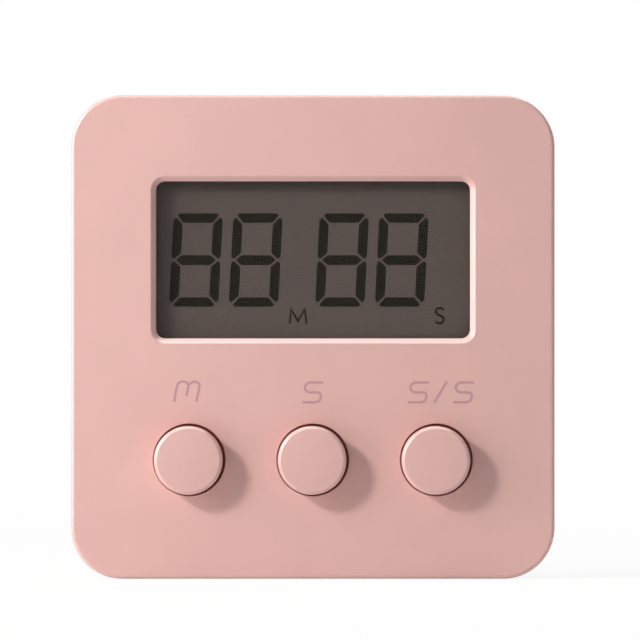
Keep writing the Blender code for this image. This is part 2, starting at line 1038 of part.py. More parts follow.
def make_button(name, number, finish):
    """Hollow cap with a retaining flange behind the case wall and a stem that reaches its dome."""
    flange_front = front_wall + seat_gap
    flange_back = flange_front + cap_flange_thickness
    flange_radius = cap_radius + cap_flange_reach
    stem_end = board_front - 2 * seat_gap - dome_height
    corner = (cap_radius - cap_edge_round, cap_edge_round - cap_proud)
    profile = [(0.0, -cap_proud)]
    profile += arc(corner, cap_edge_round, -1, 0, 2 * edge_steps)
    profile += [
        (cap_radius, flange_front),
        (flange_radius, flange_front),
        (flange_radius, flange_back),
        (cap_radius - cap_wall, flange_back),
        (cap_radius - cap_wall, cap_top - cap_proud),
        (cap_stem_radius, cap_top - cap_proud),
        (cap_stem_radius, stem_end),
        (0.0, stem_end),
    ]
    cap = turned(name, profile, (number * button_pitch, button_height), large_sides)
    finish_part(cap, name, finish)
    place = (number * button_pitch, y_at(flange_front), button_height)
    hang_on_axis(cap, f"{name}_axis", place)


def make_dome(name, number, finish):
    """Silicone dome with a contact pill, standing on the circuit board."""
    foot = board_front - seat_gap
    top = foot - dome_height
    profile = [
        (0.0, top),
        (dome_top_radius, top),
        (dome_shoulder_radius, top + dome_shoulder_drop),
        (dome_web_radius, foot - dome_foot_thickness),
        (dome_foot_radius, foot - dome_foot_thickness),
        (dome_foot_radius, foot),
        (dome_inner_radius, foot),
        (dome_inner_radius, foot - dome_wall),
        (dome_top_radius, top + dome_ceiling),
        (dome_pill_radius, top + dome_ceiling),
        (dome_pill_radius, foot - dome_pill_gap),
        (0.0, foot - dome_pill_gap),
    ]
    dome = turned(name, profile, (number * button_pitch, button_height), middle_sides)
    finish_part(dome, name, finish)


def make_circuit_board(finishes):
    """Board behind the buttons, with the parts soldered to its back."""
    board = plate(
        "circuit_board",
        rounded_rectangle(
            board_width,
            board_top - board_bottom,
            board_corner,
            (0.0, (board_top + board_bottom) / 2),
            edge_steps,
        ),
        board_front,
        board_back,
    )
    for number, place in enumerate(board_screw_places()):
        hole = pin_back(
            f"board_hole_{number}",
            board_screw_radius + board_hole_gap,
            place,
            (board_front - overrun, board_back + overrun),
            tiny_sides,
        )
        cut(board, hole)
    finish_part(board, "circuit_board", finishes["board"])
    seat = board_back + seat_gap
    blob = [(0.0, seat)]
    for step in range(2 * edge_steps):
        angle = pi / 2 * step / (2 * edge_steps)
        blob.append((chip_radius * cos(angle), seat + chip_height * sin(angle)))
    blob.append((0.0, seat + chip_height))
    chip = turned("chip", blob, (0.0, chip_place_height), small_sides)
    finish_part(chip, "chip", finishes["resin"])
    crystal = pin_along_height(
        "crystal",
        crystal_radius,
        crystal_from_centre,
        (chip_place_height - crystal_length / 2, chip_place_height + crystal_length / 2),
        seat + crystal_radius,
        small_sides,
    )
    finish_part(crystal, "crystal", finishes["nickel"])
    flange_end = seat + coil_height - coil_flange_thickness
    coil_profile = [
        (0.0, seat),
        (coil_flange_radius, seat),
        (coil_flange_radius, seat + coil_flange_thickness),
        (coil_winding_radius, seat + coil_flange_thickness),
        (coil_winding_radius, flange_end),
        (coil_flange_radius, flange_end),
        (coil_flange_radius, seat + coil_height),
        (coil_core_radius, seat + coil_height),
        (0.0, seat + coil_height),
    ]
    coil = turned("boost_coil", coil_profile, (-coil_from_centre, coil_place_height), small_sides)
    finish_part(coil, "boost_coil", finishes["ferrite"])


def pin_along_height(name, radius, x, height_span, depth, sides):
    """Cylinder that stands along Z."""
    shape = cylinder(name, radius, height_span[1] - height_span[0], sides)
    shape.location = (x, y_at(depth), sum(height_span) / 2)
    return shape


def make_buzzer(finishes):
    """Brass plate on the ring of the rear cover, with its ceramic disc."""
    plate_back = recess_back_of_floor - buzzer_ring_length - seat_gap
    plate_front = plate_back - buzzer_plate_thickness
    brass = pin_back(
        "buzzer_plate", buzzer_plate_radius, (0.0, buzzer_height), (plate_front, plate_back), large_sides
    )
    finish_part(brass, "buzzer_plate", finishes["brass"])
    ceramic_back = plate_front - bond_gap
    ceramic = pin_back(
        "buzzer_ceramic",
        buzzer_ceramic_radius,
        (0.0, buzzer_height),
        (ceramic_back - buzzer_ceramic_thickness, ceramic_back),
        large_sides,
    )
    finish_part(ceramic, "buzzer_ceramic", finishes["ceramic"])


def make_battery(finishes):
    """Cell lying along X, its two contacts and the spring at its flat end."""
    body_end = cell_length - cell_nub_length
    round_low = (cell_radius - cell_edge_round, -body_end + cell_edge_round)
    profile = [(0.0, -cell_length), (cell_nub_radius, -cell_length), (cell_nub_radius, -body_end)]
    profile += arc(round_low, cell_edge_round, -1, 0, edge_steps)
    profile += arc((round_low[0], -cell_edge_round), cell_edge_round, 0, 1, edge_steps)
    profile += [
        (cell_dish_radius, 0.0),
        (cell_dish_radius - cell_dish_depth, -cell_dish_depth),
        (0.0, -cell_dish_depth),
    ]
    cell = turned("battery_cell", profile, (0.0, 0.0), middle_sides)
    cell.rotation_euler = (0.0, pi / 2, 0.0)
    cell.location = (cell_left, y_at(cell_depth), cell_above_base)
    finish_part(cell, "battery_cell", finishes["cell"])
    for name, side in (("positive_contact", 1), ("negative_contact", -1)):
        contact = box(
            name,
            tuple(sorted((side * contact_inner, side * (contact_inner + contact_thickness)))),
            (cell_above_base - contact_half, cell_above_base + contact_half),
            (contact_front(), contact_front() + 2 * contact_half),
        )
        tail = box(
            f"{name}_tail",
            tuple(
                sorted(
                    (
                        side * (contact_inner + contact_thickness / 2),
                        side * (contact_inner + contact_thickness + contact_tail_length),
                    )
                )
            ),
            (
                cell_above_base - contact_tail_width / 2,
                cell_above_base + contact_tail_width / 2,
            ),
            (contact_front(), contact_front() + contact_thickness),
        )
        add(contact, tail)
        finish_part(contact, name, finishes["nickel"])
    make_battery_spring(finishes["nickel"])


def make_battery_spring(finish):
    """Conical wire spring between the negative contact and the cell."""
    start_x = -contact_inner + seat_gap + spring_wire / 2
    travel = spring_length - spring_wire
    count = ceil(spring_turns * spring_points_per_turn)
    points = []
    for step in range(count + 1):
        share = step / count
        angle = 2 * pi * spring_turns * share
        radius = spring_base_radius + (spring_tip_radius - spring_base_radius) * share
        points.append(
            Vector(
                (
                    start_x + travel * share,
                    y_at(cell_depth) + radius * cos(angle),
                    cell_above_base + radius * sin(angle),
                )
            )
        )
    least = min(
        (points[i] - points[j]).length
        for i in range(count + 1)
        for j in range(i + spring_points_per_turn // 2, count + 1)
    )
    print(f"battery spring: least gap to itself {(least - spring_wire) * 1000:.2f} mm")
    wire = tube("battery_spring", points, spring_wire / 2)
    finish_part(wire, "battery_spring", finish)


def tube(name, points, radius):
    """Round wire through the points, with closed ends."""
    data = bpy.data.curves.new(name, "CURVE")
    data.dimensions = "3D"
    data.bevel_depth = radius
    data.bevel_resolution = lead_resolution
    data.use_fill_caps = True
    spline = data.splines.new("POLY")
    spline.points.add(len(points) - 1)
    for point, place in zip(spline.points, points):
        point.co = (*place, 1.0)
    curve = bpy.data.objects.new(name, data)
    guides.objects.link(curve)
    return mesh_from_curve(name, curve)


def smooth_route(places, steps):
    """Points on a smooth curve through the places."""
    route = []
    count = len(places)
    for index in range(count - 1):
        before = places[max(index - 1, 0)]
        first = places[index]
        second = places[index + 1]
        after = places[min(index + 2, count - 1)]
        for step in range(steps):
            t = step / steps
            route.append(
                (
                    2 * first
                    + (second - before) * t
                    + (2 * before - 5 * first + 4 * second - after) * t ** 2
                    + (3 * first - before - 3 * second + after) * t ** 3
                )
                / 2
            )
    route.append(places[-1])
    return route


def make_leads(finishes):
    """Two leads from the battery contacts and two from the buzzer, each to the back of the board."""
    board_level = board_back + seat_gap + lead_radius
    tail_end = contact_inner + contact_thickness + contact_tail_length + seat_gap
    tail_level = contact_front() + contact_thickness / 2
    plate_front = recess_back_of_floor - buzzer_ring_length - seat_gap - buzzer_plate_thickness
    ceramic_front = plate_front - bond_gap - buzzer_ceramic_thickness
    battery_run = ((tail_end, cell_above_base, tail_level),) + battery_lead_run
    battery_run += ((*battery_lead_end, board_level),)
    ceramic_run = ((*ceramic_lead_start, ceramic_front - seat_gap),) + ceramic_lead_run
    ceramic_run += ((*ceramic_lead_end, board_level),)
    plate_run = ((*plate_lead_start, plate_front - seat_gap),) + plate_lead_run
    plate_run += ((*plate_lead_end, board_level),)
    make_lead("positive_lead", battery_run, 1, finishes["lead_red"])
    make_lead("negative_lead", battery_run, -1, finishes["lead_black"])
    make_lead("buzzer_lead_ceramic", ceramic_run, 1, finishes["lead_red"])
    make_lead("buzzer_lead_plate", plate_run, 1, finishes["lead_black"])


def make_lead(name, run, side, finish):
    """Thin lead on a smooth curve through places (x, height, depth)."""
    places = [Vector((side * x, y_at(depth), height)) for x, height, depth in run]
    lead = tube(name, smooth_route(places, 2), lead_radius)
    finish_part(lead, name, finish)


def make_screw(name, place, head_depth, sizes, finish):
    """Pan-head screw driven from the back, its head at the larger depth, with a cross recess."""
    radius, head_radius, head_height, length = sizes
    top = head_depth + head_height
    tip = head_depth - length
    profile = [
        (0.0, tip),
        (radius / 2, tip),
        (radius, tip + screw_tip_length),
        (radius, head_depth),
        (head_radius, head_depth),
        (head_radius, top - screw_head_round),
        (head_radius - screw_head_round, top),
        (0.0, top),
    ]
    screw = turned(name, profile, place, small_sides)
    half_long = min(cross_length / 2, head_radius - screw_head_round)
    for label, half_x, half_z in (
        ("wide", half_long, cross_width / 2),
        ("tall", cross_width / 2, half_long),
    ):
        slot = box(
            f"{name}_{label}_slot",
            (place[0] - half_x, place[0] + half_x),
            (place[1] - half_z, place[1] + half_z),
            (top - cross_depth, top + overrun),
        )
        cut(screw, slot)
    finish_part(screw, name, finish)


def make_screws(finishes):
    """Four screws that close the case and four that hold the circuit board."""
    corners = ("lower_left", "lower_right", "upper_left", "upper_right")
    case_sizes = (
        case_screw_radius,
        case_screw_head_radius,
        case_screw_head_height,
        case_screw_length,
    )
    board_sizes = (
        board_screw_radius,
        board_screw_head_radius,
        board_screw_head_height,
        board_screw_length,
    )
    for corner, place in zip(corners, corner_places(case_screw_inset)):
        make_screw(f"case_screw_{corner}", place, rear_screw_seat(), case_sizes, finishes["steel"])
    for corner, place in zip(corners, board_screw_places()):
        make_screw(
            f"board_screw_{corner}", place, board_back + seat_gap, board_sizes, finishes["steel"]
        )


def make_magnets(finish):
    """Two disc magnets just below the surface of the back."""
    back = case_depth - magnet_set_back
    for name, side in (("magnet_left", -1), ("magnet_right", 1)):
        magnet = pin_back(
            name,
            magnet_radius,
            (side * magnet_from_centre, magnet_height),
            (back - magnet_thickness, back),
            middle_sides,
        )
        finish_part(magnet, name, finish)


def make_stand(finish):
    """Flat leg that folds into the back, with its hinge barrel, pins and finger notch."""
    leg = plate(
        "stand",
        rounded_rectangle(
            stand_width,
            stand_pivot_height - stand_tip + stand_corner,
            stand_corner,
            (0.0, (stand_pivot_height + stand_tip + stand_corner) / 2),
            edge_steps,
        ),
        stand_front,
        case_depth - stand_set_back,
    )
    top_trim = box(
        "stand_trim",
        (-stand_width, stand_width),
        (stand_pivot_height, stand_pivot_height + 2 * stand_corner),
        (stand_front - overrun, case_depth + overrun),
    )
    barrel = pin_across(
        "stand_barrel",
        stand_barrel_radius,
        (-stand_width / 2, stand_width / 2),
        stand_pivot_height,
        stand_axis_depth,
        large_sides,
    )
    pins = pin_across(
        "stand_pins",
        stand_pin_radius,
        (-stand_width / 2 - stand_pin_length, stand_width / 2 + stand_pin_length),
        stand_pivot_height,
        stand_axis_depth,
        small_sides,
    )
    notch = pin_back(
        "stand_notch",
        notch_radius,
        (0.0, stand_tip),
        (stand_front - overrun, case_depth + overrun),
        middle_sides,
    )
    cut(leg, top_trim)
    add(leg, barrel, pins)
    cut(leg, notch)
    for number, place in enumerate(sound_hole_places()):
        hole = pin_back(
            f"stand_sound_hole_{number}",
            sound_hole_radius,
            place,
            (stand_front - overrun, case_depth + overrun),
            tiny_sides,
        )
        cut(leg, hole)
    finish_part(leg, "stand", finish)
    hang_on_axis(leg, "stand_axis", (0.0, y_at(stand_axis_depth), stand_pivot_height))


def make_battery_door(finish):
    """Door over the battery bay: a panel with a round lower edge, two pins and a latch tongue."""
    panel_top = door_top
    panel_low = door_axis_height - door_corner
    panel = plate(
        "battery_door",
        rounded_rectangle(
            2 * door_half,
            panel_top - panel_low,
            door_corner,
            (0.0, (panel_top + panel_low) / 2),
            edge_steps,
        ),
        rear_inner,
        case_depth,
    )
    low_trim = box(
        "door_trim",
        (-door_half - overrun, door_half + overrun),
        (panel_low - overrun, door_axis_height),
        (rear_inner - overrun, case_depth + overrun),
    )
    bead = pin_across(
        "door_bead",
        door_bead_radius,
        (-door_half, door_half),
        door_axis_height,
        door_axis_depth,
        large_sides,
    )
    pins = pin_across(
        "door_pins",
        door_pin_radius,
        (-door_half - door_pin_length, door_half + door_pin_length),
        door_axis_height,
        door_axis_depth,
        small_sides,
    )
    tongue_top = bay_top - latch_inset
    tongue = box(
        "door_tongue",
        (-latch_width / 2, latch_width / 2),
        (tongue_top - latch_thickness, tongue_top),
        (rear_inner - latch_length, rear_inner + rear_wall / 2),
    )
    bump = pin_across(
        "door_bump",
        latch_bump_radius,
        (-latch_width / 2, latch_width / 2),
        tongue_top,
        rear_inner - latch_length + 2 * latch_bump_radius,
        tiny_sides,
    )
    cut(panel, low_trim)
    add(panel, bead, pins, tongue, bump)
    finish_part(panel, "battery_door", finish)
    hang_on_axis(panel, "battery_door_axis", (0.0, y_at(door_axis_depth), door_axis_height))


def make_finishes():
    """Every material of the timer."""
    pink = (0.72, 0.46, 0.42)
    return {
        "case": make_material("pink_plastic", pink, 0.42),
        "cap": make_material("pink_button", pink, 0.38),
        "lens": make_material("clear_lens", (0.16, 0.14, 0.13), 0.08),
        "front_polariser": make_material("polariser_film", (0.10, 0.08, 0.07), 0.25),
        "lcd_reflector": make_material("reflector_film", (0.55, 0.55, 0.52), 0.30, 0.6),
        "glass": make_material("display_glass", (0.42, 0.47, 0.44), 0.05),
        "rubber_dark": make_material("zebra_rubber", (0.05, 0.05, 0.05), 0.70),
        "rubber_grey": make_material("silicone_rubber", (0.55, 0.55, 0.55), 0.60),
        "holder": make_material("white_plastic", (0.80, 0.80, 0.78), 0.45),
        "board": make_material("green_board", (0.03, 0.20, 0.08), 0.40),
        "resin": make_material("black_resin", (0.02, 0.02, 0.02), 0.25),
        "ferrite": make_material("ferrite", (0.08, 0.08, 0.09), 0.60),
        "nickel": make_material("nickel_plate", (0.62, 0.60, 0.56), 0.25, 1.0),
        "steel": make_material("zinc_steel", (0.50, 0.50, 0.50), 0.30, 1.0),
        "magnet": make_material("magnet_nickel", (0.45, 0.45, 0.46), 0.28, 1.0),
        "brass": make_material("brass", (0.72, 0.52, 0.22), 0.30, 1.0),
        "ceramic": make_material("piezo_ceramic", (0.75, 0.73, 0.66), 0.35),
        "cell": make_material("cell_jacket", (0.25, 0.25, 0.27), 0.35),
        "lead_red": make_material("red_lead", (0.55, 0.03, 0.03), 0.45),
        "lead_black": make_material("black_lead", (0.03, 0.03, 0.03), 0.45),
    }


def build():
    """Make every piece of the timer."""
    global parts, guides
    clear_scene()
    parts = new_collection("kitchen_timer")
    guides = new_collection("construction_shapes")
    finishes = make_finishes()
    make_front_case(finishes["case"])
    make_rear_cover(finishes["case"])
    make_display(finishes)
    buttons = (("minutes", -1), ("seconds", 0), ("start_stop", 1))
    for name, number in buttons:
        make_button(f"button_cap_{name}", number, finishes["cap"])
        make_dome(f"rubber_dome_{name}", number, finishes["rubber_grey"])
    make_circuit_board(finishes)
    make_buzzer(finishes)
    make_battery(finishes)
    make_leads(finishes)
    make_screws(finishes)
    make_magnets(finishes["magnet"])
    make_stand(finishes["case"])
    make_battery_door(finishes["case"])
    bpy.context.view_layer.update()


build()
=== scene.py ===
# %% [markdown]
# # A square kitchen timer, dressed for its portrait
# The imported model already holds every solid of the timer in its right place. This lesson gives it its
# looks: fine edges where the moulded shells catch the light, a display with digits, printed marks, and a
# finish for every piece. Nothing here moves a solid. A piece either gets a finish or is stood for by a
# finer piece in the same place.

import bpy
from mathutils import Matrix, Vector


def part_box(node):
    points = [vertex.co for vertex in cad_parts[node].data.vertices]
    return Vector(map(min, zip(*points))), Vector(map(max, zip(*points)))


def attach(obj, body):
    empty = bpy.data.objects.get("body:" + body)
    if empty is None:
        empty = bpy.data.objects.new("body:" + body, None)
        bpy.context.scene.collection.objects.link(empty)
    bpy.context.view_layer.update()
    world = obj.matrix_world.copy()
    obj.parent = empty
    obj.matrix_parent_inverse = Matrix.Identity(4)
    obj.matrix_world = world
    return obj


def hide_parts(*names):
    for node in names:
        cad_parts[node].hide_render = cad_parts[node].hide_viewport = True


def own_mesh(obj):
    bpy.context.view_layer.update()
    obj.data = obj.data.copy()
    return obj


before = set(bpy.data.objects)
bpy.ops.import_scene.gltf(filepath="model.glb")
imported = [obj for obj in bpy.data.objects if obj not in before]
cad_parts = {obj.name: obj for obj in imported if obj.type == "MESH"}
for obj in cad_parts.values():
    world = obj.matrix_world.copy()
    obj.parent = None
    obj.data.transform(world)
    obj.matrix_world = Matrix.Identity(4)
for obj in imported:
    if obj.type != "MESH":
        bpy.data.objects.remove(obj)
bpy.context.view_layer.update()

# %% [markdown]
# Blender counts in metres, and a timer is a small thing, so a size is written as a number times one
# millimetre, and a whole row of sizes passes through in_mm. Depths are measured backwards from the front
# face and heights upwards from the bottom edge, as its maker would do. The main places come from the packed
# solids, so that the fine pieces can't drift away from them.

# %% The millimetre and the places of the case
from functools import cached_property
from math import cos, pi, radians, sin, tan

import bmesh
import bpy
from mathutils import Vector

mm = 0.001
case_low, case_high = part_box("front_case")
face_y = case_low.y
case_width = case_high.x - case_low.x
case_height = case_high.z - case_low.z
case_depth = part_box("rear_cover")[1].y - face_y
parting_depth = case_high.y - face_y
middle_height = case_low.z + case_height / 2


def in_mm(*sizes):
    """Sizes given in millimetres, single or in groups, as metres."""
    return [in_mm(*size) if isinstance(size, tuple) else size * mm for size in sizes]


print(f"case {case_width / mm:.1f} x {case_depth / mm:.1f} x {case_height / mm:.1f} mm")

# %% [markdown]
# ## The camera
# The photograph looks straight at the front, and its sides hardly converge, so it was taken from far away
# with a long lens. The picture is taken to be 640 pixels square, and the case is 484 of them wide. The case
# stands a little left of and below the middle of the picture, so the camera is moved by that much and not
# turned.

# %% Camera
def add_object(name, data):
    """New object in the scene."""
    item = bpy.data.objects.new(name, data)
    bpy.context.scene.collection.objects.link(item)
    return item


picture_pixels = 640
case_pixels = 483.9
pixel = case_width / case_pixels
case_centre_pixel = (312.8, 337.0)
camera_distance = 1100 * mm

camera_data = bpy.data.cameras.new("portrait_camera")
camera_data.lens = camera_data.sensor_width * camera_distance / (pixel * picture_pixels)
camera_data.clip_start = 10 * mm
camera_data.clip_end = 20.0
camera = add_object("portrait_camera", camera_data)
bpy.context.scene.camera = camera
aim_x = (picture_pixels / 2 - case_centre_pixel[0]) * pixel
aim_z = middle_height + (case_centre_pixel[1] - picture_pixels / 2) * pixel
camera.location = (aim_x, face_y - camera_distance, aim_z)
camera.rotation_euler = (pi / 2, 0.0, 0.0)
print(f"lens {camera_data.lens:.0f} mm, one pixel is {pixel / mm:.4f} mm")

# %% [markdown]
# ## Solids from rings
# Almost every piece of the timer is a stack of outlines: a rounded square that shrinks at its edges, or a
# circle that changes its radius. So one helper makes a closed solid from a stack of rings with equally many
# points, joins neighbouring rings with quads and closes the first and the last one. Extruding and bevelling
# by hand would do the same, but a stack says the exact size of every edge.

# %% Solids from rings
def as_object(name, work):
    """Object from a bmesh that is ready."""
    mesh = bpy.data.meshes.new(name)
    work.to_mesh(mesh)
    work.free()
    return add_object(name, mesh)


def solid_from_rings(name, rings, loop=False):
    """Closed solid through rings of points. A ring of one point is the tip of a cone."""
    work = bmesh.new()
    rows = [[work.verts.new(point) for point in ring] for ring in rings]
    pairs = list(zip(rows, rows[1:]))
    if loop:
        pairs.append((rows[-1], rows[0]))
    for first, second in pairs:
        count = max(len(first), len(second))
        for index in range(count):
            after = (index + 1) % count
            corners = [first[index % len(first)], first[after % len(first)]]
            corners += [second[after % len(second)], second[index % len(second)]]
            work.faces.new(list(dict.fromkeys(corners)))
    for row in (rows[0], rows[-1]):
        if len(row) > 2 and not loop:
            work.faces.new(row)
    bmesh.ops.recalc_face_normals(work, faces=work.faces)
    return as_object(name, work)


# %% [markdown]
# A rounded rectangle is the outline of the case, the window, the stand and the door. Growing it keeps its
# corners concentric, which is how a moulded wall keeps its thickness round a corner.

# %% Outlines and stacks
corner_steps = 18
corner_signs = ((1, 1), (-1, 1), (-1, -1), (1, -1))


def rounded_rectangle(width, height, radius, centre, grow):
    """Points (x, height) of a rectangle with round corners, grown on every side."""
    reach = max(radius + grow, 0.01 * mm)
    points = []
    for quarter, (side_x, side_z) in enumerate(corner_signs):
        corner_x = centre[0] + side_x * (width / 2 + grow - reach)
        corner_z = centre[1] + side_z * (height / 2 + grow - reach)
        for step in range(corner_steps + 1):
            angle = (quarter + step / corner_steps) * pi / 2
            points.append((corner_x + reach * cos(angle), corner_z + reach * sin(angle)))
    return points


def ring_at(outline, depth):
    """An outline set upright at a depth behind the front face."""
    return [(x, face_y + depth, z) for x, z in outline]


def rounded_edge(radius, steps, level=0.0, way=1):
    """Points (grow, depth) of a quarter round that leads from a flat face at a level out to a side wall."""
    angles = [step / steps * pi / 2 for step in range(steps + 1)]
    return [(radius * (sin(angle) - 1), level + way * radius * (1 - cos(angle))) for angle in angles]


def stack(name, width, height, radius, centre, profile):
    """Solid from (grow, depth) pairs: the outline grows and shrinks as it goes back."""
    outline = (width, height, radius, centre)
    return solid_from_rings(
        name, [ring_at(rounded_rectangle(*outline, grow), depth) for grow, depth in profile]
    )


# %% [markdown]
# Buttons, screws, magnets and the cell are turned on a lathe: a profile of radii spins round an axis. The
# same helper turns about the line that runs through the timer and about the one that runs across it. Bars
# and bays are plain blocks.

# %% Turned solids and blocks
def turned(name, profile, centre, axis="Y", sides=96, loop=False):
    """Solid of revolution from (radius, distance along the axis), with centre given as the other two places.

    Along Y the distance is a depth and centre is (x, height); along X the distance is x and centre is
    (depth, height).
    """
    rings = []
    for radius, along in profile:
        ring = []
        for side in range(sides if radius > 0 else 1):
            angle = 2 * pi * side / sides
            across = radius * cos(angle)
            up = radius * sin(angle)
            if axis == "Y":
                ring.append((centre[0] + across, face_y + along, centre[1] + up))
            else:
                ring.append((along, face_y + centre[0] + across, centre[1] + up))
        rings.append(ring)
    return solid_from_rings(name, rings, loop)


def block(name, x_span, heights, depths):
    """Plain block between two x values, two heights and two depths."""
    (left, right), (low, high) = x_span, heights
    outline = [(left, low), (right, low), (right, high), (left, high)]
    return solid_from_rings(name, [ring_at(outline, depth) for depth in depths])


# %% [markdown]
# Holes, pockets and posts come from Boolean operations between closed solids. The exact solver is slow but
# keeps flat faces flat. The tools are thrown away afterwards, and the finished mesh gets smooth shading up
# to an angle. Weighted normals then make the large flat faces look flat right up to their rounded edges.

# %% Boolean workshop
smooth_angle = radians(33)
weld_distance = 0.001 * mm


def combine(piece, operation, tools):
    """Boolean steps, still waiting to be settled."""
    if "even_normals" in piece.modifiers:
        piece.modifiers.remove(piece.modifiers["even_normals"])
    for tool in tools:
        step = piece.modifiers.new(tool.name, "BOOLEAN")
        step.operation = operation
        step.solver = "EXACT"
        step.object = tool
    return piece


def settle(piece):
    """Make the Boolean steps final, clear their tools away and set the shading."""
    tools = [step.object for step in piece.modifiers]
    graph = bpy.context.evaluated_depsgraph_get()
    final = bpy.data.meshes.new_from_object(piece.evaluated_get(graph))
    piece.modifiers.clear()
    piece.data = final
    for tool in tools:
        bpy.data.objects.remove(tool, do_unlink=True)
    work = bmesh.new()
    work.from_mesh(final)
    bmesh.ops.remove_doubles(work, verts=work.verts, dist=weld_distance)
    bmesh.ops.dissolve_degenerate(work, edges=work.edges, dist=weld_distance)
    open_edges = sum(not edge.is_manifold for edge in work.edges)
    work.to_mesh(final)
    work.free()
    print(f"{piece.name}: {len(final.polygons)} faces, {open_edges} open edges")
    return shade(piece)


def shade(piece):
    """Smooth up to an angle, with flat faces that stay flat."""
    piece.data.shade_smooth()
    piece.data.set_sharp_from_angle(angle=smooth_angle)
    even = piece.modifiers.new("even_normals", "WEIGHTED_NORMAL")
    even.keep_sharp = True
    even.mode = "FACE_AREA"
    return piece


def in_one(name, pieces):
    """Several solids that don't touch, as one mesh."""
    work = bmesh.new()
    for piece in pieces:
        work.from_mesh(piece.data)
        bpy.data.objects.remove(piece, do_unlink=True)
    return as_object(name, work)


# %% [markdown]
# ## The front shell
# The front of the timer is one moulded cup: a flat face with a softly rounded rim, thin walls and a step at
# the back that the rear shell's lip slips into. The stack runs from the face round the rim, back along the
# wall, over the step and down inside to the floor. The last tenth of a millimetre of the wall is broken,
# which makes the fine groove that one sees between two shells.

# %% Sizes of the front shell
corner_radius = 6.9 * mm
front_edge_round = 0.55 * mm
parting_break = 0.1 * mm
side_wall, front_wall, rebate_wall = in_mm(2.0, 2.2, 1.0)
rebate_depth = 10.9 * mm
post_root = 1.0 * mm
hair = 0.002 * mm
case_centre = (0.0, middle_height)
window_size = in_mm(42.2, 21.1)
window_corner = 1.2 * mm
window_centre = (0.04 * mm, middle_height + 10.37 * mm)
pocket_size = in_mm(45.6, 24.6)
pocket_corner = 1.0 * mm
pocket_centre = (0.0, middle_height + 10.3 * mm)
button_pitch = 16.6 * mm
button_names = ("minutes", "seconds", "start_stop")
button_places = [((number - 1) * button_pitch, middle_height - 16.5 * mm) for number in range(3)]
screw_inset = 5.2 * mm
case_screw_places = [
    (side * (case_width / 2 - screw_inset), height)
    for height in (screw_inset, case_height - screw_inset)
    for side in (-1, 1)
]
board_screw_places = [(side * 21.2 * mm, height) for height in in_mm(6.2, 24.2) for side in (-1, 1)]
print("buttons at", [(round(x / mm, 2), round(z / mm, 2)) for x, z in button_places])


# %% The cup, its posts and the button guides
def case_stack(name, profile):
    """Solid with the outline of the case."""
    return stack(name, case_width, case_height, corner_radius, case_centre, profile)


def broken_edge(level, way):
    """Points (grow, depth) where a wall ends at a level with its edge broken."""
    shares = ((0.0, 1.0), (0.3, 0.3), (1.0, 0.0))
    return [(-inward * parting_break, level + way * left * parting_break) for inward, left in shares]


def hollow_posts(name, places, sizes, sides):
    """Screw posts in the front wall. Sizes: outer and inner radius, end, and start of the pilot hole."""
    outside, inside, end, pilot_start = sizes
    profile = [(0.0, post_root), (outside, post_root), (outside, end)]
    profile += [(inside, end), (inside, pilot_start), (0.0, pilot_start)]
    return [turned(name, profile, place, sides=sides) for place in places]


front_shell = case_stack(
    "front_shell",
    rounded_edge(front_edge_round, 10)
    + broken_edge(parting_depth, -1)
    + [
        (-rebate_wall, parting_depth),
        (-rebate_wall, rebate_depth),
        (-side_wall, rebate_depth),
        (-side_wall, front_wall),
    ],
)
guide_profile = in_mm((5.9, 1.0), (6.7, 1.0), (6.7, 4.2), (5.9, 4.2))
posts = hollow_posts("case_post", case_screw_places, in_mm(2.6, 1.15, 10.8, 5.7), 48)
posts += hollow_posts("board_post", board_screw_places, in_mm(1.8, 0.85, 6.4, 3.1), 32)
posts += [turned("guide", guide_profile, place, loop=True) for place in button_places]
print(len(posts), "posts and guides")

# %% [markdown]
# The window's edge leans in at 45 degrees, and mould makers never leave such an edge sharp: a tiny round
# joins it to the face and another to the lip. The cutters carry these rounds, so that the light runs over
# them as on the real edge. Their front rings stand a hair in front of the face, because a cutter that
# shares a plane with what it cuts leaves scraps of faces behind.

# %% Window, button holes and screw holes
window_bevel = 0.7 * mm
window_lip = 1.2 * mm
bevel_steps = 3
hole_radius = 4.84 * mm
hole_ease = 0.15 * mm
ahead = -1.0 * mm


def eased_bevel(size, ease_front, ease_back):
    """Profile (grow, depth) of a 45 degree bevel with small rounds at both of its ends."""
    turn = pi / 4
    points = []
    for radius, start, centre in (
        (ease_front, 0.0, (size + ease_front * tan(turn / 2), ease_front)),
        (ease_back, turn, (ease_back, size + ease_back * tan(turn / 2))),
    ):
        for step in range(bevel_steps + 1):
            angle = start + turn * step / bevel_steps
            points.append((centre[0] - radius * sin(angle), centre[1] - radius * cos(angle)))
    points[0] = (points[0][0] + hair, -hair)
    return points


window_profile = eased_bevel(window_bevel, 0.30 * mm, 0.12 * mm)
window_profile = [(1.6 * mm, ahead)] + window_profile + [(0.0, 3.5 * mm)]
window_cutter = stack("window_cutter", *window_size, window_corner, window_centre, window_profile)
pocket_profile = [(0.0, window_lip), (0.0, 4.0 * mm)]
lens_pocket = stack("lens_pocket", *pocket_size, pocket_corner, pocket_centre, pocket_profile)
hole_profile = [(0.0, ahead), (hole_radius + 2 * hole_ease, ahead)]
hole_profile += [(hole_radius + hole_ease + hair, -hair)]
hole_profile += [(hole_radius - grow, depth) for grow, depth in rounded_edge(hole_ease, 4)[1:]]
hole_profile += [(hole_radius, 3.0 * mm), (0.0, 3.0 * mm)]
holes = in_one("button_holes", [turned("hole", hole_profile, place) for place in button_places])
combine(front_shell, "DIFFERENCE", [window_cutter, lens_pocket, holes])
combine(front_shell, "UNION", [in_one("front_shell_posts", posts)])
settle(front_shell)

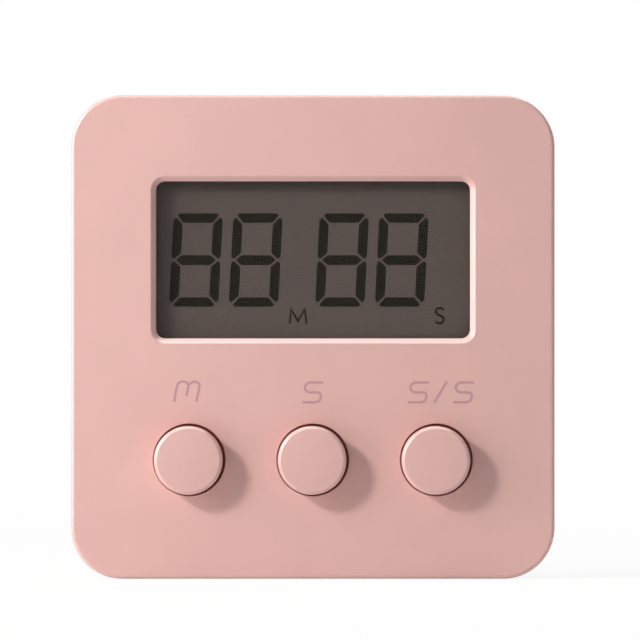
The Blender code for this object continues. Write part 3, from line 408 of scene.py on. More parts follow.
# %% [markdown]
# ## The buttons
# Each button is a hollow cap on a stem. A flange behind the case wall keeps it from falling out, and the
# stem pushes on a rubber dome. The cap's edge is a narrow bevel with eased ends, and that thin ring is what
# catches the light in the photograph. Each cap rests a little to the left in its hole, as its play allows,
# so the dark gap round it is wider on the right.

# %% Three caps
cap_radius = 4.6 * mm
cap_front = -3.2 * mm
cap_edge = 0.38 * mm
cap_play = in_mm(-0.10, -0.04)

cap_profile = [(0.0, cap_front)]
cap_profile += [
    (cap_radius - cap_edge + grow, cap_front + depth)
    for grow, depth in in_mm((-0.10, 0.0), (-0.03, 0.008), (0.03, 0.035))
]
cap_profile += [
    (cap_radius + grow, cap_front + cap_edge + depth)
    for grow, depth in in_mm((-0.035, -0.03), (-0.008, 0.03), (0.0, 0.10))
]
flange = [(cap_radius, 2.5 * mm)] + in_mm((5.6, 2.5), (5.6, 3.4), (3.7, 3.4))
stem = in_mm((3.7, -2.0), (1.5, -2.0), (1.5, 4.3), (0.0, 4.3))
caps = []
for name, (x, height) in zip(button_names, button_places):
    centre = (x + cap_play[0], height + cap_play[1])
    caps.append(shade(turned(f"cap_{name}", cap_profile + flange + stem, centre, sides=128)))
print("caps stand", round(-cap_front / mm, 1), "mm proud of the face")

# %% [markdown]
# ## Finishes
# Every finish is worked out by nodes from the place on the piece, so it needs no image and holds on every
# side. Shader sums are easier to read as sums than as boxes and wires, so a small class wraps a socket and
# lets Python's own signs add the Math nodes. Another class holds one material and makes all its nodes in
# one way.

# %% A wire that can be reckoned with, and a paint that makes nodes
class Wire:
    """A value on its way through a material."""

    def __init__(self, paint, socket):
        self.paint = paint
        self.socket = socket

    def __add__(self, other):
        return self.paint.sum("ADD", self, other)

    def __sub__(self, other):
        return self.paint.sum("SUBTRACT", self, other)

    def __rsub__(self, other):
        return self.paint.sum("SUBTRACT", other, self)

    def __mul__(self, other):
        return self.paint.sum("MULTIPLY", self, other)

    __radd__ = __add__
    __rmul__ = __mul__

    def above(self, level, softness):
        """0 below a level and 1 above it, with a soft step."""
        return self.paint.sum("MULTIPLY", self - (level - softness / 2), 1 / softness, use_clamp=True)

    def between(self, low, high, softness):
        """1 between two levels and 0 outside them, with soft steps."""
        return self.above(low, softness) * (1.0 - self.above(high, softness))


class Paint:
    """One material, or the world, under construction."""

    def __init__(self, name, family=None):
        self.block = (bpy.data.materials if family is None else family).new(name)
        self.block.use_nodes = True
        self.tree = self.block.node_tree

    def node(self, kind, inputs=None, output=0, **settings):
        """Any node: its settings first, then the values or links of its sockets."""
        node = self.tree.nodes.new(kind)
        for name, value in settings.items():
            setattr(node, name, value)
        for name, value in (inputs or {}).items():
            self.join(node.inputs[name], value)
        return Wire(self, node.outputs[output])

    def join(self, socket, value):
        """Link a wire to a socket or set the socket's own value."""
        if isinstance(value, Wire):
            self.tree.links.new(value.socket, socket)
        elif isinstance(value, tuple) and socket.type == "RGBA":
            socket.default_value = (*value, 1.0)
        else:
            socket.default_value = value

    def sum(self, operation, *terms, **settings):
        """A Math node on its terms."""
        return self.node("ShaderNodeMath", dict(enumerate(terms)), operation=operation, **settings)

    def vector(self, operation, *terms, output="Value"):
        """A Vector Math node on its terms."""
        return self.node("ShaderNodeVectorMath", dict(enumerate(terms)), output, operation=operation)

    @cached_property
    def place(self):
        """The place on the piece, in its own frame."""
        return self.node("ShaderNodeTexCoord", output="Object")

    def along(self, axis, vector=None):
        """One part of a vector, of the place if no other is given."""
        return self.node("ShaderNodeSeparateXYZ", {0: vector or self.place}, axis)

    def stretched(self, *scale):
        """The place, stretched along each axis, for grain that runs in one direction."""
        return self.node("ShaderNodeMapping", {"Vector": self.place, "Scale": scale})

    def noise(self, size, detail=2.0, roughness=0.5, place=None):
        """Cloudy noise between 0 and 1, with lumps of a given size."""
        lumps = {"Scale": 1 / size, "Detail": detail, "Roughness": roughness}
        return self.node("ShaderNodeTexNoise", {"Vector": place or self.place, **lumps})

    def mix(self, factor, first, second):
        """Colour between two colours."""
        return self.node("ShaderNodeMix", {0: factor, 6: first, 7: second}, 2, data_type="RGBA")

    def times(self, colour, strength):
        """Colour made lighter or darker by a value."""
        return self.node("ShaderNodeVectorMath", {0: colour, "Scale": strength}, operation="SCALE")

    def bump(self, height, depth):
        """Normal for a height map, with the full height given as a real depth."""
        return self.node("ShaderNodeBump", {"Height": height, "Distance": depth}, "Normal")

    def finish(self, **sockets):
        """Set the shader's sockets, written with _ for spaces, and hand over the material."""
        shader = self.tree.nodes["Principled BSDF"]
        for name, value in sockets.items():
            self.join(shader.inputs[name.replace("_", " ")], value)
        return self.block

    def mix_surface(self, factor, other):
        """Let another shader take the place of the material's own by a factor."""
        own = Wire(self, self.tree.nodes["Principled BSDF"].outputs[0])
        both = self.node("ShaderNodeMixShader", {0: factor, 1: own, 2: other})
        self.join(self.tree.nodes["Material Output"].inputs["Surface"], both)
        return self.block


def toned(colour, *factors):
    """A colour made lighter or darker, all of it or each of its parts."""
    return tuple(value * factor for value, factor in zip(colour, factors * 3))


# %% [markdown]
# Satin pink plastic: a mould with a fine spark-eroded texture gives it a grain of about a third of a
# millimetre and a soft shine. The pigment isn't quite even, which shows as very faint clouds a centimetre
# across, and a long life in a kitchen leaves a few faint specks and slightly polished edges. The Bevel node
# knows where a sharp edge is, so the polish follows it. Bevels and round edges come from the polished part
# of the mould, so they get a thin clear coat, which is what makes them shine almost white. Light reaches the
# narrow gaps round the buttons mostly through the plastic itself. That red glow is painted into the colour
# of their walls, as a painted glow in place of the light.

# %% Satin plastic
case_colour = (0.668, 0.409, 0.376)
worn_pink = (0.95, 0.80, 0.76)
# Painted glow: deep red painted on the walls of the button gaps, standing in for light that passes through
# the plastic
painted_glow_red = (0.80, 0.20, 0.15)
gap_reach = 5.1 * mm
gap_span = in_mm(0.2, 3.5)
edge_reach = 0.25 * mm
speck_spacing = 5 * mm


def satin_plastic(name, colour, grain, gloss):
    """Moulded plastic with pigment clouds, fine grain, polished edges and a red glow painted into the button
    gaps.
    """
    paint = Paint(name)
    clouds = paint.noise(11 * mm, 3.0, 0.55)
    flow = paint.noise(3.2 * mm) - 0.5
    grit = paint.noise(grain, 3.0, 0.6)
    tone = 1.0 + (clouds - 0.5) * 0.07 + flow * 0.025 + (grit - 0.5) * 0.02
    cells = {"Vector": paint.place, "Scale": 1 / speck_spacing}
    specks = 1.0 - paint.node("ShaderNodeTexVoronoi", cells, "Distance").above(0.018, 0.012)
    edges = edge_mask(paint)
    slant = slant_mask(paint)
    body = paint.times(paint.mix(clouds, toned(colour, 0.985), toned(colour, 1.015)), tone)
    body = paint.mix(edges * 0.06, body, worn_pink)
    body = paint.mix(specks * 0.35, body, toned(colour, 0.45))
    # Painted glow: the walls of the button gaps are painted red in place of light that comes through the
    # plastic
    body = paint.mix(painted_glow_mask(paint), body, painted_glow_red)
    return paint.finish(
        Base_Color=body,
        Roughness=gloss + (grit - 0.5) * 0.10 + flow * 0.06 - edges * 0.07 - slant * 0.10,
        Normal=paint.bump(grit * 0.6 + paint.noise(grain * 0.45, 1.0) * 0.4, 0.006 * mm),
        Specular_IOR_Level=0.5,
        IOR=1.49,
        Coat_Weight=slant * 0.8,
        Coat_Roughness=0.2,
    )


def slant_mask(paint):
    """1 on bevels and round edges, 0 on surfaces that face straight out or sideways."""
    forward = paint.along("Y", paint.node("ShaderNodeTexCoord", output="Normal"))
    facing = paint.sum("ABSOLUTE", forward)
    return facing.above(0.2, 0.1) * (1.0 - facing.above(0.95, 0.04))


def edge_mask(paint):
    """1 along the sharp edges of a piece, where a bevelled normal leaves the true one, and 0 on its flats."""
    soft = paint.node("ShaderNodeBevel", {"Radius": edge_reach}, samples=4)
    true = paint.node("ShaderNodeNewGeometry", output="Normal")
    return (1.0 - paint.vector("DOT_PRODUCT", soft, true)).above(0.06, 0.10)


def painted_glow_mask(paint):
    """1 on the walls of the gaps round the buttons, where a red glow is painted, and 0 elsewhere."""
    depth = paint.along("Y") - face_y
    flat = paint.vector("MULTIPLY", paint.place, (1.0, 0.0, 1.0), output=0)
    near = 0.0
    for x, height in button_places:
        away = paint.vector("DISTANCE", flat, (x, 0.0, height))
        near = near + (1.0 - away.above(gap_reach, 0.1 * mm))
    return near * depth.above(gap_span[0], 0.3 * mm) * (1.0 - depth.above(gap_span[1], 0.2 * mm))


case_pink = satin_plastic("satin_pink_case", case_colour, 0.28 * mm, 0.42)
button_pink = satin_plastic("satin_pink_buttons", case_colour, 0.24 * mm, 0.36)


# %% Each piece gets its finish, its body and the solids that it stands for
def dress(piece, material, body, slot, *nodes):
    """Finish a piece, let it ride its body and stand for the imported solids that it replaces."""
    paint_over(piece, material)
    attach(piece, body)
    if nodes:
        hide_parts(*nodes)


def paint_over(piece, material):
    """Give a piece one material and no other."""
    piece.data.materials.clear()
    piece.data.materials.append(material)


def redress(material, *names):
    """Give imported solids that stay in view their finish."""
    for name in names:
        paint_over(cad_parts[name], material)


dress(front_shell, case_pink, "case", "case_plastic", "front_case")
for name, cap in zip(button_names, caps):
    dress(cap, button_pink, f"{name}_button", "button_plastic", f"button_cap_{name}")
print("pink base colour", case_colour)

# %% [markdown]
# ## The display
# Behind the clear window lies a liquid crystal display: dark grey-brown film with darker digits. Each digit
# is made of seven bars with pointed ends, slanted a little, so that any figure can be shown. All seven show
# here. A bar is an outline of a few points, given once in pixels of the picture and used again for each
# digit.

# %% Bars of the digits
def from_picture(x, y):
    """Place (x, height) on the front for a point of the picture."""
    across = (x - case_centre_pixel[0]) * pixel
    return (across, middle_height - (y - case_centre_pixel[1]) * pixel)


def softened(outline, cut=0.3):
    """An outline with each corner cut by a short side, as an etched bar has."""
    points = []
    for before, corner, after in zip(outline[-1:] + outline[:-1], outline, outline[1:] + outline[:1]):
        for other in (before, after):
            reach = (Vector(other) - Vector(corner)).length
            points.append(tuple(Vector(corner).lerp(Vector(other), min(0.2, cut / reach))))
    return points


digit_places = (0.0, 59.95, 146.4, 206.25)
bars = (
    ((179.4, 213.1), (216.6, 213.1), (218.7, 215.3), (212.1, 222.6), (183.3, 222.6), (177.4, 215.3)),
    ((175.6, 217.2), (182.3, 224.4), (180.9, 252.7), (173.7, 258.8), (171.1, 256.6), (172.9, 220.4)),
    ((219.9, 217.4), (222.5, 220.1), (220.6, 256.2), (217.9, 258.8), (211.3, 252.8), (212.8, 224.4)),
    ((175.7, 259.9), (181.7, 255.1), (210.2, 255.1), (215.6, 260.0), (209.5, 264.9), (181.3, 264.9)),
    ((173.1, 260.7), (180.1, 266.9), (178.7, 295.4), (171.3, 302.6), (168.9, 299.7), (170.7, 264.0)),
    ((218.0, 260.8), (220.2, 263.8), (218.4, 299.6), (215.8, 302.5), (209.1, 295.4), (210.6, 267.0)),
    ((179.5, 297.3), (208.0, 297.3), (214.2, 304.6), (212.0, 306.7), (174.8, 306.7), (172.8, 304.6)),
)
film_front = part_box("front_polariser")[0].y - face_y
ink_span = (film_front - 0.02 * mm, film_front + 0.01 * mm)
bar_plates = []
for right in digit_places:
    for bar in bars:
        outline = [from_picture(x + right, y) for x, y in softened(bar)]
        bar_plates.append(solid_from_rings("bar", [ring_at(outline, depth) for depth in ink_span]))
print(len(bar_plates), "bars in", len(digit_places), "digits")
digits = in_one("display_digits", bar_plates)

# %% [markdown]
# Two small letters on the display and the three marks over the buttons say plainly which pair counts
# minutes and which counts seconds. They are drawn with strokes of even width, like the marks of a pad
# printing tool: a few points, a smooth line through them and a ribbon round the line.

# %% Strokes of even width
stroke_steps = 6


def smooth_line(points):
    """Points of a smooth curve through the given points."""
    ends = [Vector(point) for point in (points[0], *points, points[-1])]
    line = []
    for a, b, c, d in zip(ends, ends[1:], ends[2:], ends[3:]):
        for step in range(stroke_steps):
            t = step / stroke_steps
            bend = 2 * a - 5 * b + 4 * c - d + t * (3 * (b - c) + d - a)
            line.append(b + 0.5 * t * (c - a + t * bend))
    return line + [ends[-1]]


def stroke(points, width, depths, curved):
    """Ribbon of even width along a line of (x, height) points, with square ends."""
    line = smooth_line(points) if curved else [Vector(point) for point in points]
    left, right = [], []
    for index, place in enumerate(line):
        into = (place - line[index - 1]).normalized() if index else None
        out = (line[index + 1] - place).normalized() if index + 1 < len(line) else None
        into, out = into or out, out or into
        along = (into + out).normalized()
        side = Vector((-along.y, along.x)) * (width / 2 / max(0.5, along.dot(out)))
        left.append(place + side)
        right.append(place - side)
    return solid_from_rings("stroke", [ring_at(left + right[::-1], depth) for depth in depths])


def mark(name, strokes, width, depths, right=0.0, curved=True):
    """One printed mark of several strokes, moved right by some pixels."""
    ribbons = [
        stroke([from_picture(x + right, y) for x, y in points], width, depths, curved)
        for points in strokes
    ]
    ribbons[0].name = name
    if len(ribbons) > 1:
        combine(ribbons[0], "UNION", ribbons[1:])
    return settle(ribbons[0])


# %% Letters on the display
letter_width = 0.29 * mm
small_m = [[(289.5, 323.7), (291.1, 309.2), (297.9, 321.2), (304.7, 309.2), (306.5, 323.7)]]
small_s = [
    [
        (444.1, 309.9), (441.4, 308.3), (438.2, 308.4), (436.2, 310.6), (436.9, 313.7), (440.1, 315.4),
        (443.2, 317.2), (444.0, 320.2), (442.0, 322.8), (438.8, 323.2), (435.7, 321.6),
    ]
]
letters = [
    mark("m", small_m, letter_width, ink_span, curved=False),
    mark("s", small_s, letter_width, ink_span),
]
display_letters = in_one("display_letters", letters)

# %% [markdown]
# The marks on the face are printed with a slightly darker rose ink, a film only about a hundredth of a
# millimetre thick. They are set in the face a little, so that nothing shows between ink and plastic.

# %% Marks over the buttons
ink_width = 0.33 * mm
mark_span = in_mm(-0.012, 0.01)
round_m = [
    [
        (174.1, 401.6), (176.2, 390.0), (177.8, 384.3), (180.4, 382.0), (185.4, 381.8), (188.3, 384.8),
        (187.5, 391.0), (186.3, 396.0),
    ],
    [
        (188.4, 385.0), (192.1, 382.3), (195.4, 381.8), (198.2, 382.9), (199.5, 386.2), (198.2, 392.8),
        (196.3, 401.6),
    ],
]
flat_s = [
    [
        (428.6, 382.5), (420.0, 382.5), (414.6, 382.7), (411.0, 385.2), (410.6, 389.0), (413.4, 391.9),
        (418.0, 392.3), (422.0, 392.4), (425.5, 393.6), (426.2, 397.0), (424.6, 400.8), (420.6, 402.2),
        (414.0, 402.3), (407.9, 402.3),
    ]
]
slash = [[(434.2, 402.8), (447.0, 381.3)]]
to_seconds, to_stop = -105.4, 45.4


def face_mark(name, strokes, right=0.0, curved=True):
    """Mark in the ink of the face."""
    return mark(name, strokes, ink_width, mark_span, right, curved)


start_stop = [
    face_mark("first_s", flat_s),
    face_mark("slash", slash, curved=False),
    face_mark("second_s", flat_s, to_stop),
]
face_marks = [
    face_mark("mark_minutes", round_m),
    face_mark("mark_seconds", flat_s, to_seconds),
    in_one("mark_start_stop", start_stop),
]

# %% [markdown]
# The display film is dark and satin, with a faint mottle. The liquid crystal's dark bars are almost black,
# and the printed ink is a darker rose. Such finishes differ only in the size of their lumps and in how much
# tone and gloss follow them, so one builder makes them all, and later also the rubber and the black
# castings.

# %% Mottled finishes
film = dict(lumps=(1.6 * mm, 4.0, 0.6), tone=0.08, gloss=0.10, grit=0.15 * mm, grain=0.02)
film.update(depth=0.0001 * mm, shine=0.05)
print_cover = dict(lumps=(0.35 * mm, 3.0, 0.6), tone=0.08, gloss=0.10, depth=0.002 * mm, shine=0.4)


def mottled(name, colour, rough, lumps, tone, gloss, depth, grit=None, grain=0.0, shine=0.5):
    """Finish whose tone and gloss follow soft lumps, over a relief of finer grit or of the lumps."""
    paint = Paint(name)
    lump = paint.noise(*lumps) - 0.5
    fine = paint.noise(grit) - 0.5 if grit else lump
    return paint.finish(
        Base_Color=paint.times(colour, 1.0 + lump * tone + fine * grain),
        Roughness=rough + lump * gloss,
        Normal=paint.bump(fine, depth),
        Specular_IOR_Level=shine,
    )


def linear(*levels):
    """A colour read from a picture, 0 to 255, as the linear values that Blender works in."""
    shares = [level / 255 for level in levels]
    return tuple(s / 12.92 if s <= 0.04045 else ((s + 0.055) / 1.055) ** 2.4 for s in shares)


field_film = mottled("display_field", linear(84, 74, 70), 0.45, **film)
dark_bars = mottled("display_dark_bars", linear(28, 25, 18), 0.45, **film)
rose_ink = mottled("rose_print", linear(182, 142, 145), 0.47, **print_cover)
print("display film", [round(value, 3) for value in linear(84, 74, 70)])

# %% [markdown]
# Window glass lets the lamps through for shadow rays, so that the film behind it is lit as it should be.
# The window is a little smoky and is given a low index, because it reflects little of the room in the
# photograph.

# %% Clear plates
def clear_plate(name, tint, index):
    """Clear plate that lamps shine through."""
    paint = Paint(name)
    smear = paint.noise(7 * mm, 3.0, 0.6)
    paint.finish(
        Base_Color=paint.mix(smear, tint, toned(tint, 0.985)),
        Roughness=0.0,
        Transmission_Weight=1.0,
        IOR=index,
    )
    clear = paint.node("ShaderNodeBsdfTransparent", {"Color": tint})
    return paint.mix_surface(paint.node("ShaderNodeLightPath", output="Is Shadow Ray"), clear)


dress(digits, dark_bars, "case", "dark_film")
dress(display_letters, dark_bars, "case", "dark_film")
for printed in face_marks:
    dress(printed, rose_ink, "case", "case_plastic")
redress(field_film, "front_polariser")
redress(clear_plate("window_clear", (0.85, 0.85, 0.85), 1.12), "display_lens")
redress(clear_plate("display_glass", (0.90, 0.94, 0.92), 1.52), "lcd_front_glass", "lcd_rear_glass")
print("display dressed, with", len(face_marks), "marks on the face")

# %% [markdown]
# ## The rear shell
# The photograph shows only the front, so the back is made as such timers have it: a battery bay with a
# hinged door, a fold-out stand in a recess, two magnets and four screws. The shell is another cup, with a
# lip that slips into the front shell's step. First it gets its blocks and bosses, then everything is cut
# out of them.

# %% Cup of the rear shell
rear_start = 12.15 * mm
lip_front = 11.1 * mm
lip_outside, lip_inside = in_mm(-1.2, -2.0)
rear_inner = 17.6 * mm

rear_shell = case_stack(
    "rear_shell",
    rounded_edge(1.5 * mm, 12, case_depth, -1)
    + broken_edge(rear_start, 1)
    + [
        (lip_outside, rear_start),
        (lip_outside, lip_front),
        (lip_inside, lip_front),
        (lip_inside, rear_inner),
    ],
)


# %% Cylinders and blocks in rows
def cylinder(name, radius, centre, span, axis="Y", sides=48):
    """Plain cylinder between two places on its axis."""
    profile = [(0.0, span[0]), (radius, span[0]), (radius, span[1]), (0.0, span[1])]
    return turned(name, profile, centre, axis, sides)


def pegs(name, radius, places, span, sides=48):
    """The same cylinder at several places on the back, its radius and its two depths in millimetres."""
    return [cylinder(name, radius * mm, place, in_mm(*span), sides=sides) for place in places]


def spans(x):
    """Spans of x: a single one reaches equally far to both sides, and a pair gives one span on each side."""
    if isinstance(x, tuple):
        return [sorted(in_mm(side * x[0], side * x[1])) for side in (-1, 1)]
    return [in_mm(-x, x)]


def blocks(*rows):
    """Blocks from rows of (name, x, heights, depths) in millimetres."""
    return [
        block(name, span, in_mm(*heights), in_mm(*depths))
        for name, x, heights, depths in rows
        for span in spans(x)
    ]


# %% Sizes of the back
door_axis = in_mm(17.9, 40.8)
stand_axis = in_mm(17.5, 36.5)
buzzer_place = (0.0, 20.0 * mm)
hole_ring = 3.2 * mm
magnet_places = [(side * 22.0 * mm, 22.0 * mm) for side in (-1, 1)]
sound_holes = [buzzer_place] + [
    (hole_ring * cos(turn), buzzer_place[1] + hole_ring * sin(turn))
    for turn in (number * pi / 3 for number in range(6))
]
cell_height = 45.9 * mm
cell_depth = 12.05 * mm
print(len(sound_holes), "sound holes")

# %% Blocks and bosses
buzzer_ring = in_mm((10.0, 13.1), (11.2, 13.1), (11.2, 16.2), (10.0, 16.2))
for parts in (
    blocks(
        ("bay", 26.0, (39.2, 52.6), (5.7, 18.3)),
        ("recess", 16.0, (3.0, 34.5), (15.6, 18.3)),
    )
    + pegs("case_boss", 2.9, case_screw_places, (11.3, 18.3)),
    blocks(("door_frame", 27.4, (38.3, 54.4), (16.1, 18.4)))
    + [turned("buzzer_ring", buzzer_ring, buzzer_place, loop=True)]
    + pegs("magnet_boss", 6.2, magnet_places, (15.3, 18.15), 64),
    blocks(
        ("stand_groove_block", 16.1, (34.1, 39.4), (14.7, 18.2)),
        ("door_boss", (24.9, 28.6), (38.9, 42.7), (15.95, 18.2)),
    ),
    blocks(("stand_boss", (13.6, 17.5), (34.05, 38.9), (15.1, 18.1))),
):
    combine(rear_shell, "UNION", [in_one("rear_blocks", parts)])
settle(rear_shell)

# %% [markdown]
# Each opening in the back has its edge broken by a tenth of a millimetre, as the mould's own edges are. The
# cutters flare out by that much at the surface, so the light finds a fine line round every opening.

# %% Openings in the back
edge_break = 0.12 * mm
behind = case_depth + 1.0 * mm


def flare(bottom, radius=0.0):
    """Profile of an opening from its floor to the back, flared at the surface."""
    return [
        (radius, bottom),
        (radius, case_depth - edge_break),
        (radius + 0.3 * edge_break, case_depth - 0.3 * edge_break),
        (radius + edge_break + hair, case_depth + hair),
        (radius + edge_break + hair, behind),
    ]


def round_openings(name, radius, places, bottom, sides=48):
    """Round holes in the back with a broken edge, their radius and floor in millimetres."""
    profile = [(0.0, bottom * mm)] + flare(bottom * mm, radius * mm) + [(0.0, behind)]
    return [turned(name, profile, place, sides=sides) for place in places]


def rods(name, radius, centre, x, sides):
    """Cylinders that run across the timer, their radius and x in millimetres."""
    return [cylinder(name, radius * mm, centre, span, "X", sides) for span in spans(x)]


surface_openings = [
    stack("door_opening", *in_mm(52.4, 13.7, 0.5), in_mm(0.0, 46.35), flare(17.9 * mm)),
    stack("stand_recess", *in_mm(29.6, 33.9, 2.0), in_mm(0.0, 21.15), flare(16.8 * mm)),
]
for parts in (
    surface_openings
    + round_openings("magnet_pocket", 5.2, magnet_places, 16.5, 96)
    + round_openings("counterbore", 2.2, case_screw_places, 16.0),
    blocks(("bay_hollow", 25.0, (40.2, 51.6), (6.5, 20.0)))
    + pegs("screw_bore", 1.2, case_screw_places, (10.0, 16.5), 24)
    + pegs("sound_hole", 0.8, sound_holes, (14.0, 17.5), 24),
    blocks(("door_room", 26.19, (40.85, 53.19), (17.3, 18.5))),
    blocks(
        ("latch_notch", 4.3, (50.6, 52.2), (15.1, 18.7)),
        ("tail_slot", (24.0, 28.0), (44.5, 47.3), (7.45, 8.65)),
    )
    + rods("stand_groove", 1.6, stand_axis, 14.79, 64),
    rods("bead_room", 1.35, door_axis, 26.18, 64) + rods("stand_sockets", 1.05, stand_axis, 16.5, 40),
    rods("finger_scoop", 6.0, in_mm(24.1, 53.2), 5.0, 128)
    + rods("door_socket", 0.75, door_axis, (25.5, 27.4), 32),
):
    combine(rear_shell, "DIFFERENCE", [in_one("rear_openings", parts)])
settle(rear_shell)
dress(rear_shell, case_pink, "case", "case_plastic", "rear_cover")

# %% [markdown]
# ## Stand and battery door
# Both are flat plates with a round bead along one edge that turns on two pins. The stand's plate has softly
# rounded edges, a notch for a fingernail and holes for the buzzer's sound. The door has three shallow grip
# grooves, a latch tongue and a bump that snaps into the rear shell.

# %% Fold-out stand
stand_front, stand_back = in_mm(17.1, 18.8)
plate_round = 0.25 * mm
through = in_mm(16.0, 20.0)


def mirrored(profile):
    """Profile of a bar that is the same at both ends, from its left half."""
    return profile + [(radius, -along) for radius, along in reversed(profile)]


def notch_cutters(name, radius, places, ease):
    """Round cutters through the stand whose edges are eased on both faces."""
    wide = radius + ease
    profile = [(0.0, through[0]), (wide, through[0]), (wide, stand_front - hair)]
    profile += [(radius, stand_front + ease), (radius, stand_back - ease), (wide, stand_back + hair)]
    profile += [(wide, through[1]), (0.0, through[1])]
    return [turned(name, profile, place, sides=64) for place in places]


plate_profile = rounded_edge(plate_round, 5, stand_front)
plate_profile += reversed(rounded_edge(plate_round, 5, stand_back, -1))
stand = stack("fold_out_stand", *in_mm(29.0, 34.0, 2.0), in_mm(0.0, 21.5), plate_profile)
stand_trim = blocks(("stand_trim", 16.0, (36.5, 40.0), (16.0, 20.0)))
notches = notch_cutters("stand_notch", 3.0 * mm, [(0.0, 4.5 * mm)], 0.2 * mm)
notches += notch_cutters("stand_hole", 0.8 * mm, sound_holes, 0.1 * mm)
stand_bead = mirrored(in_mm((0.0, -16.0), (0.8, -16.0), (0.8, -14.5), (1.15, -14.5), (1.297, -14.35)))
stand_bead = turned("stand_bead", stand_bead, stand_axis, "X", 64)
combine(stand, "DIFFERENCE", stand_trim + [in_one("stand_cutters", notches)])
combine(stand, "UNION", [stand_bead])
settle(stand)
dress(stand, case_pink, "stand", "case_plastic", "stand")

# %% Battery door
door_profile = [(0.0, 17.6 * mm)] + rounded_edge(0.2 * mm, 5, case_depth, -1)[::-1]
door = stack("hinged_battery_door", *in_mm(52.0, 13.0, 0.8), in_mm(0.0, 46.5), door_profile)
door_trim = blocks(("door_trim", 28.0, (39.0, 40.8), (16.0, 20.0)))
groove_profile = mirrored(in_mm((0.0, -6.0), (0.5, -5.6)))
groove_depth = case_depth + 0.22 * mm
grooves = [
    turned("grip_groove", groove_profile, (groove_depth, height), "X", 32)
    for height in in_mm(48.9, 50.2, 51.5)
]
door_bead = mirrored(in_mm((0.0, -27.2), (0.5, -27.2), (0.5, -26.0), (1.0, -26.0), (1.097, -25.9)))
door_bead = turned("door_bead", door_bead, door_axis, "X", 64)
tongue = blocks(("latch_tongue", 4.0, (50.4, 51.2), (15.4, 18.3)))
bump = rods("latch_bump", 0.3, in_mm(16.0, 51.2), 3.99, 24)
combine(door, "DIFFERENCE", door_trim + [in_one("grip_grooves", grooves)])
combine(door, "UNION", [door_bead] + tongue + bump)
settle(door)
dress(door, case_pink, "battery_door", "case_plastic", "battery_door")

# %% [markdown]
# ## Metal pieces on the back
# Sheet and plated metal is never an even mirror. Its roughness changes in patches, fine scratches run over
# it, and its colour turns a little warmer where it has been touched. One finish with a colour and a
# roughness serves for nickel, zinc, brass and copper.

# %% Plated metal
def plated_metal(name, colour, rough, patch=1.5, stretch=(1.0, 1.0, 1.0)):
    """Metal with patches of tarnish, as wide as given in millimetres, and fine scratches."""
    paint = Paint(name)
    patches = paint.noise(patch * mm, 3.0, 0.55)
    scratches = paint.noise(0.25 * mm, 3.0, 0.6, paint.stretched(*stretch))
    return paint.finish(
        Base_Color=paint.mix(patches.above(0.5, 0.4) * 0.5, colour, toned(colour, 0.80, 0.76, 0.70)),
        Metallic=1.0,
        Roughness=rough + (patches - 0.5) * 0.14 + (scratches - 0.5) * 0.12,
        Normal=paint.bump(scratches, 0.004 * mm),
    )


nickel = plated_metal("nickel_plate", (0.66, 0.63, 0.58), 0.27, stretch=(6.0, 1.0, 1.0))
magnet_nickel = plated_metal("nickel_magnet", (0.62, 0.61, 0.58), 0.33, 2.5)
zinc = plated_metal("zinc_plate", (0.60, 0.61, 0.60), 0.34, 0.8)
brass = plated_metal("brass_sheet", (0.75, 0.52, 0.22), 0.28, stretch=(1.0, 1.0, 8.0))
copper = plated_metal("enamelled_copper", (0.62, 0.24, 0.09), 0.30, stretch=(1.0, 8.0, 1.0))
print("metals:", [metal.name for metal in (nickel, magnet_nickel, zinc, brass, copper)])

# %% [markdown]
# The magnets are pressed discs with a chamfer ground round their edge, set just below the surface. The
# screws are pan-head screws with a cross recess. A domed head is a short arc, and the recess is two crossed
# blocks that narrow towards the bottom, taken out by a Boolean step.

# %% Magnets
magnet_profile = in_mm((0.0, 16.8), (4.75, 16.8), (5.0, 17.05))
magnet_profile += in_mm((5.0, 18.55), (4.925, 18.725), (4.75, 18.8), (0.0, 18.8))
for name, place in zip(("magnet_left", "magnet_right"), magnet_places):
    disc = shade(turned(f"{name}_disc", magnet_profile, place))
    dress(disc, magnet_nickel, "case", "magnet", name)
print("magnets lie", round((case_depth - magnet_profile[-1][1]) / mm, 2), "mm below the back")

# %% Screws
screw_corners = ("lower_left", "lower_right", "upper_left", "upper_right")
tip_length = 0.6 * mm
head_steps = 6
# Shares of the thread's radius, of the head's height and radius, and of the cross recess
point, thread_root, neck = 0.45, 0.80, 0.85
head_side, head_flat = 0.35, 0.72
arm_reach, arm_wide, arm_deep, arm_floor = 0.62, 0.15, 0.75, 0.55


def tapered_slot(place, half_x, half_z, top, depth):
    """One arm of a cross recess, narrower at its bottom."""
    rings = []
    for level, share in ((top + 0.5 * mm, 1.0), (top, 1.0), (top - depth, arm_floor)):
        x, z = half_x * share, half_z * share
        outline = [(place[0] + side_x * x, place[1] + side_z * z) for side_x, side_z in corner_signs]
        rings.append(ring_at(outline, level))
    return solid_from_rings("slot", rings)


def pan_head_screw(name, place, seat, radius, head, height, length, pitch):
    """Screw driven from the back: domed head, thread and cross recess."""
    tip = seat - length
    profile = [(0.0, tip), (radius * point, tip + 0.05 * mm)]
    turns = int((length - 2 * tip_length) / pitch)
    for turn in range(turns):
        start = tip + tip_length + turn * pitch
        profile += [(radius * thread_root, start), (radius, start + 0.5 * pitch)]
    profile += [(radius * thread_root, tip + tip_length + turns * pitch), (radius * neck, seat)]
    profile += [(head, seat), (head, seat + head_side * height)]
    for step in range(1, head_steps + 1):
        angle = step / head_steps * pi / 2
        reach = head * (head_flat + (1 - head_flat) * cos(angle))
        profile.append((reach, seat + head_side * height + (1 - head_side) * height * sin(angle)))
    profile.append((0.0, seat + height))
    screw = turned(name, profile, place, sides=64)
    long, wide = arm_reach * head, arm_wide * head
    arms = [
        tapered_slot(place, *reach, seat + height, arm_deep * height)
        for reach in ((long, wide), (wide, long))
    ]
    return settle(combine(screw, "DIFFERENCE", arms))


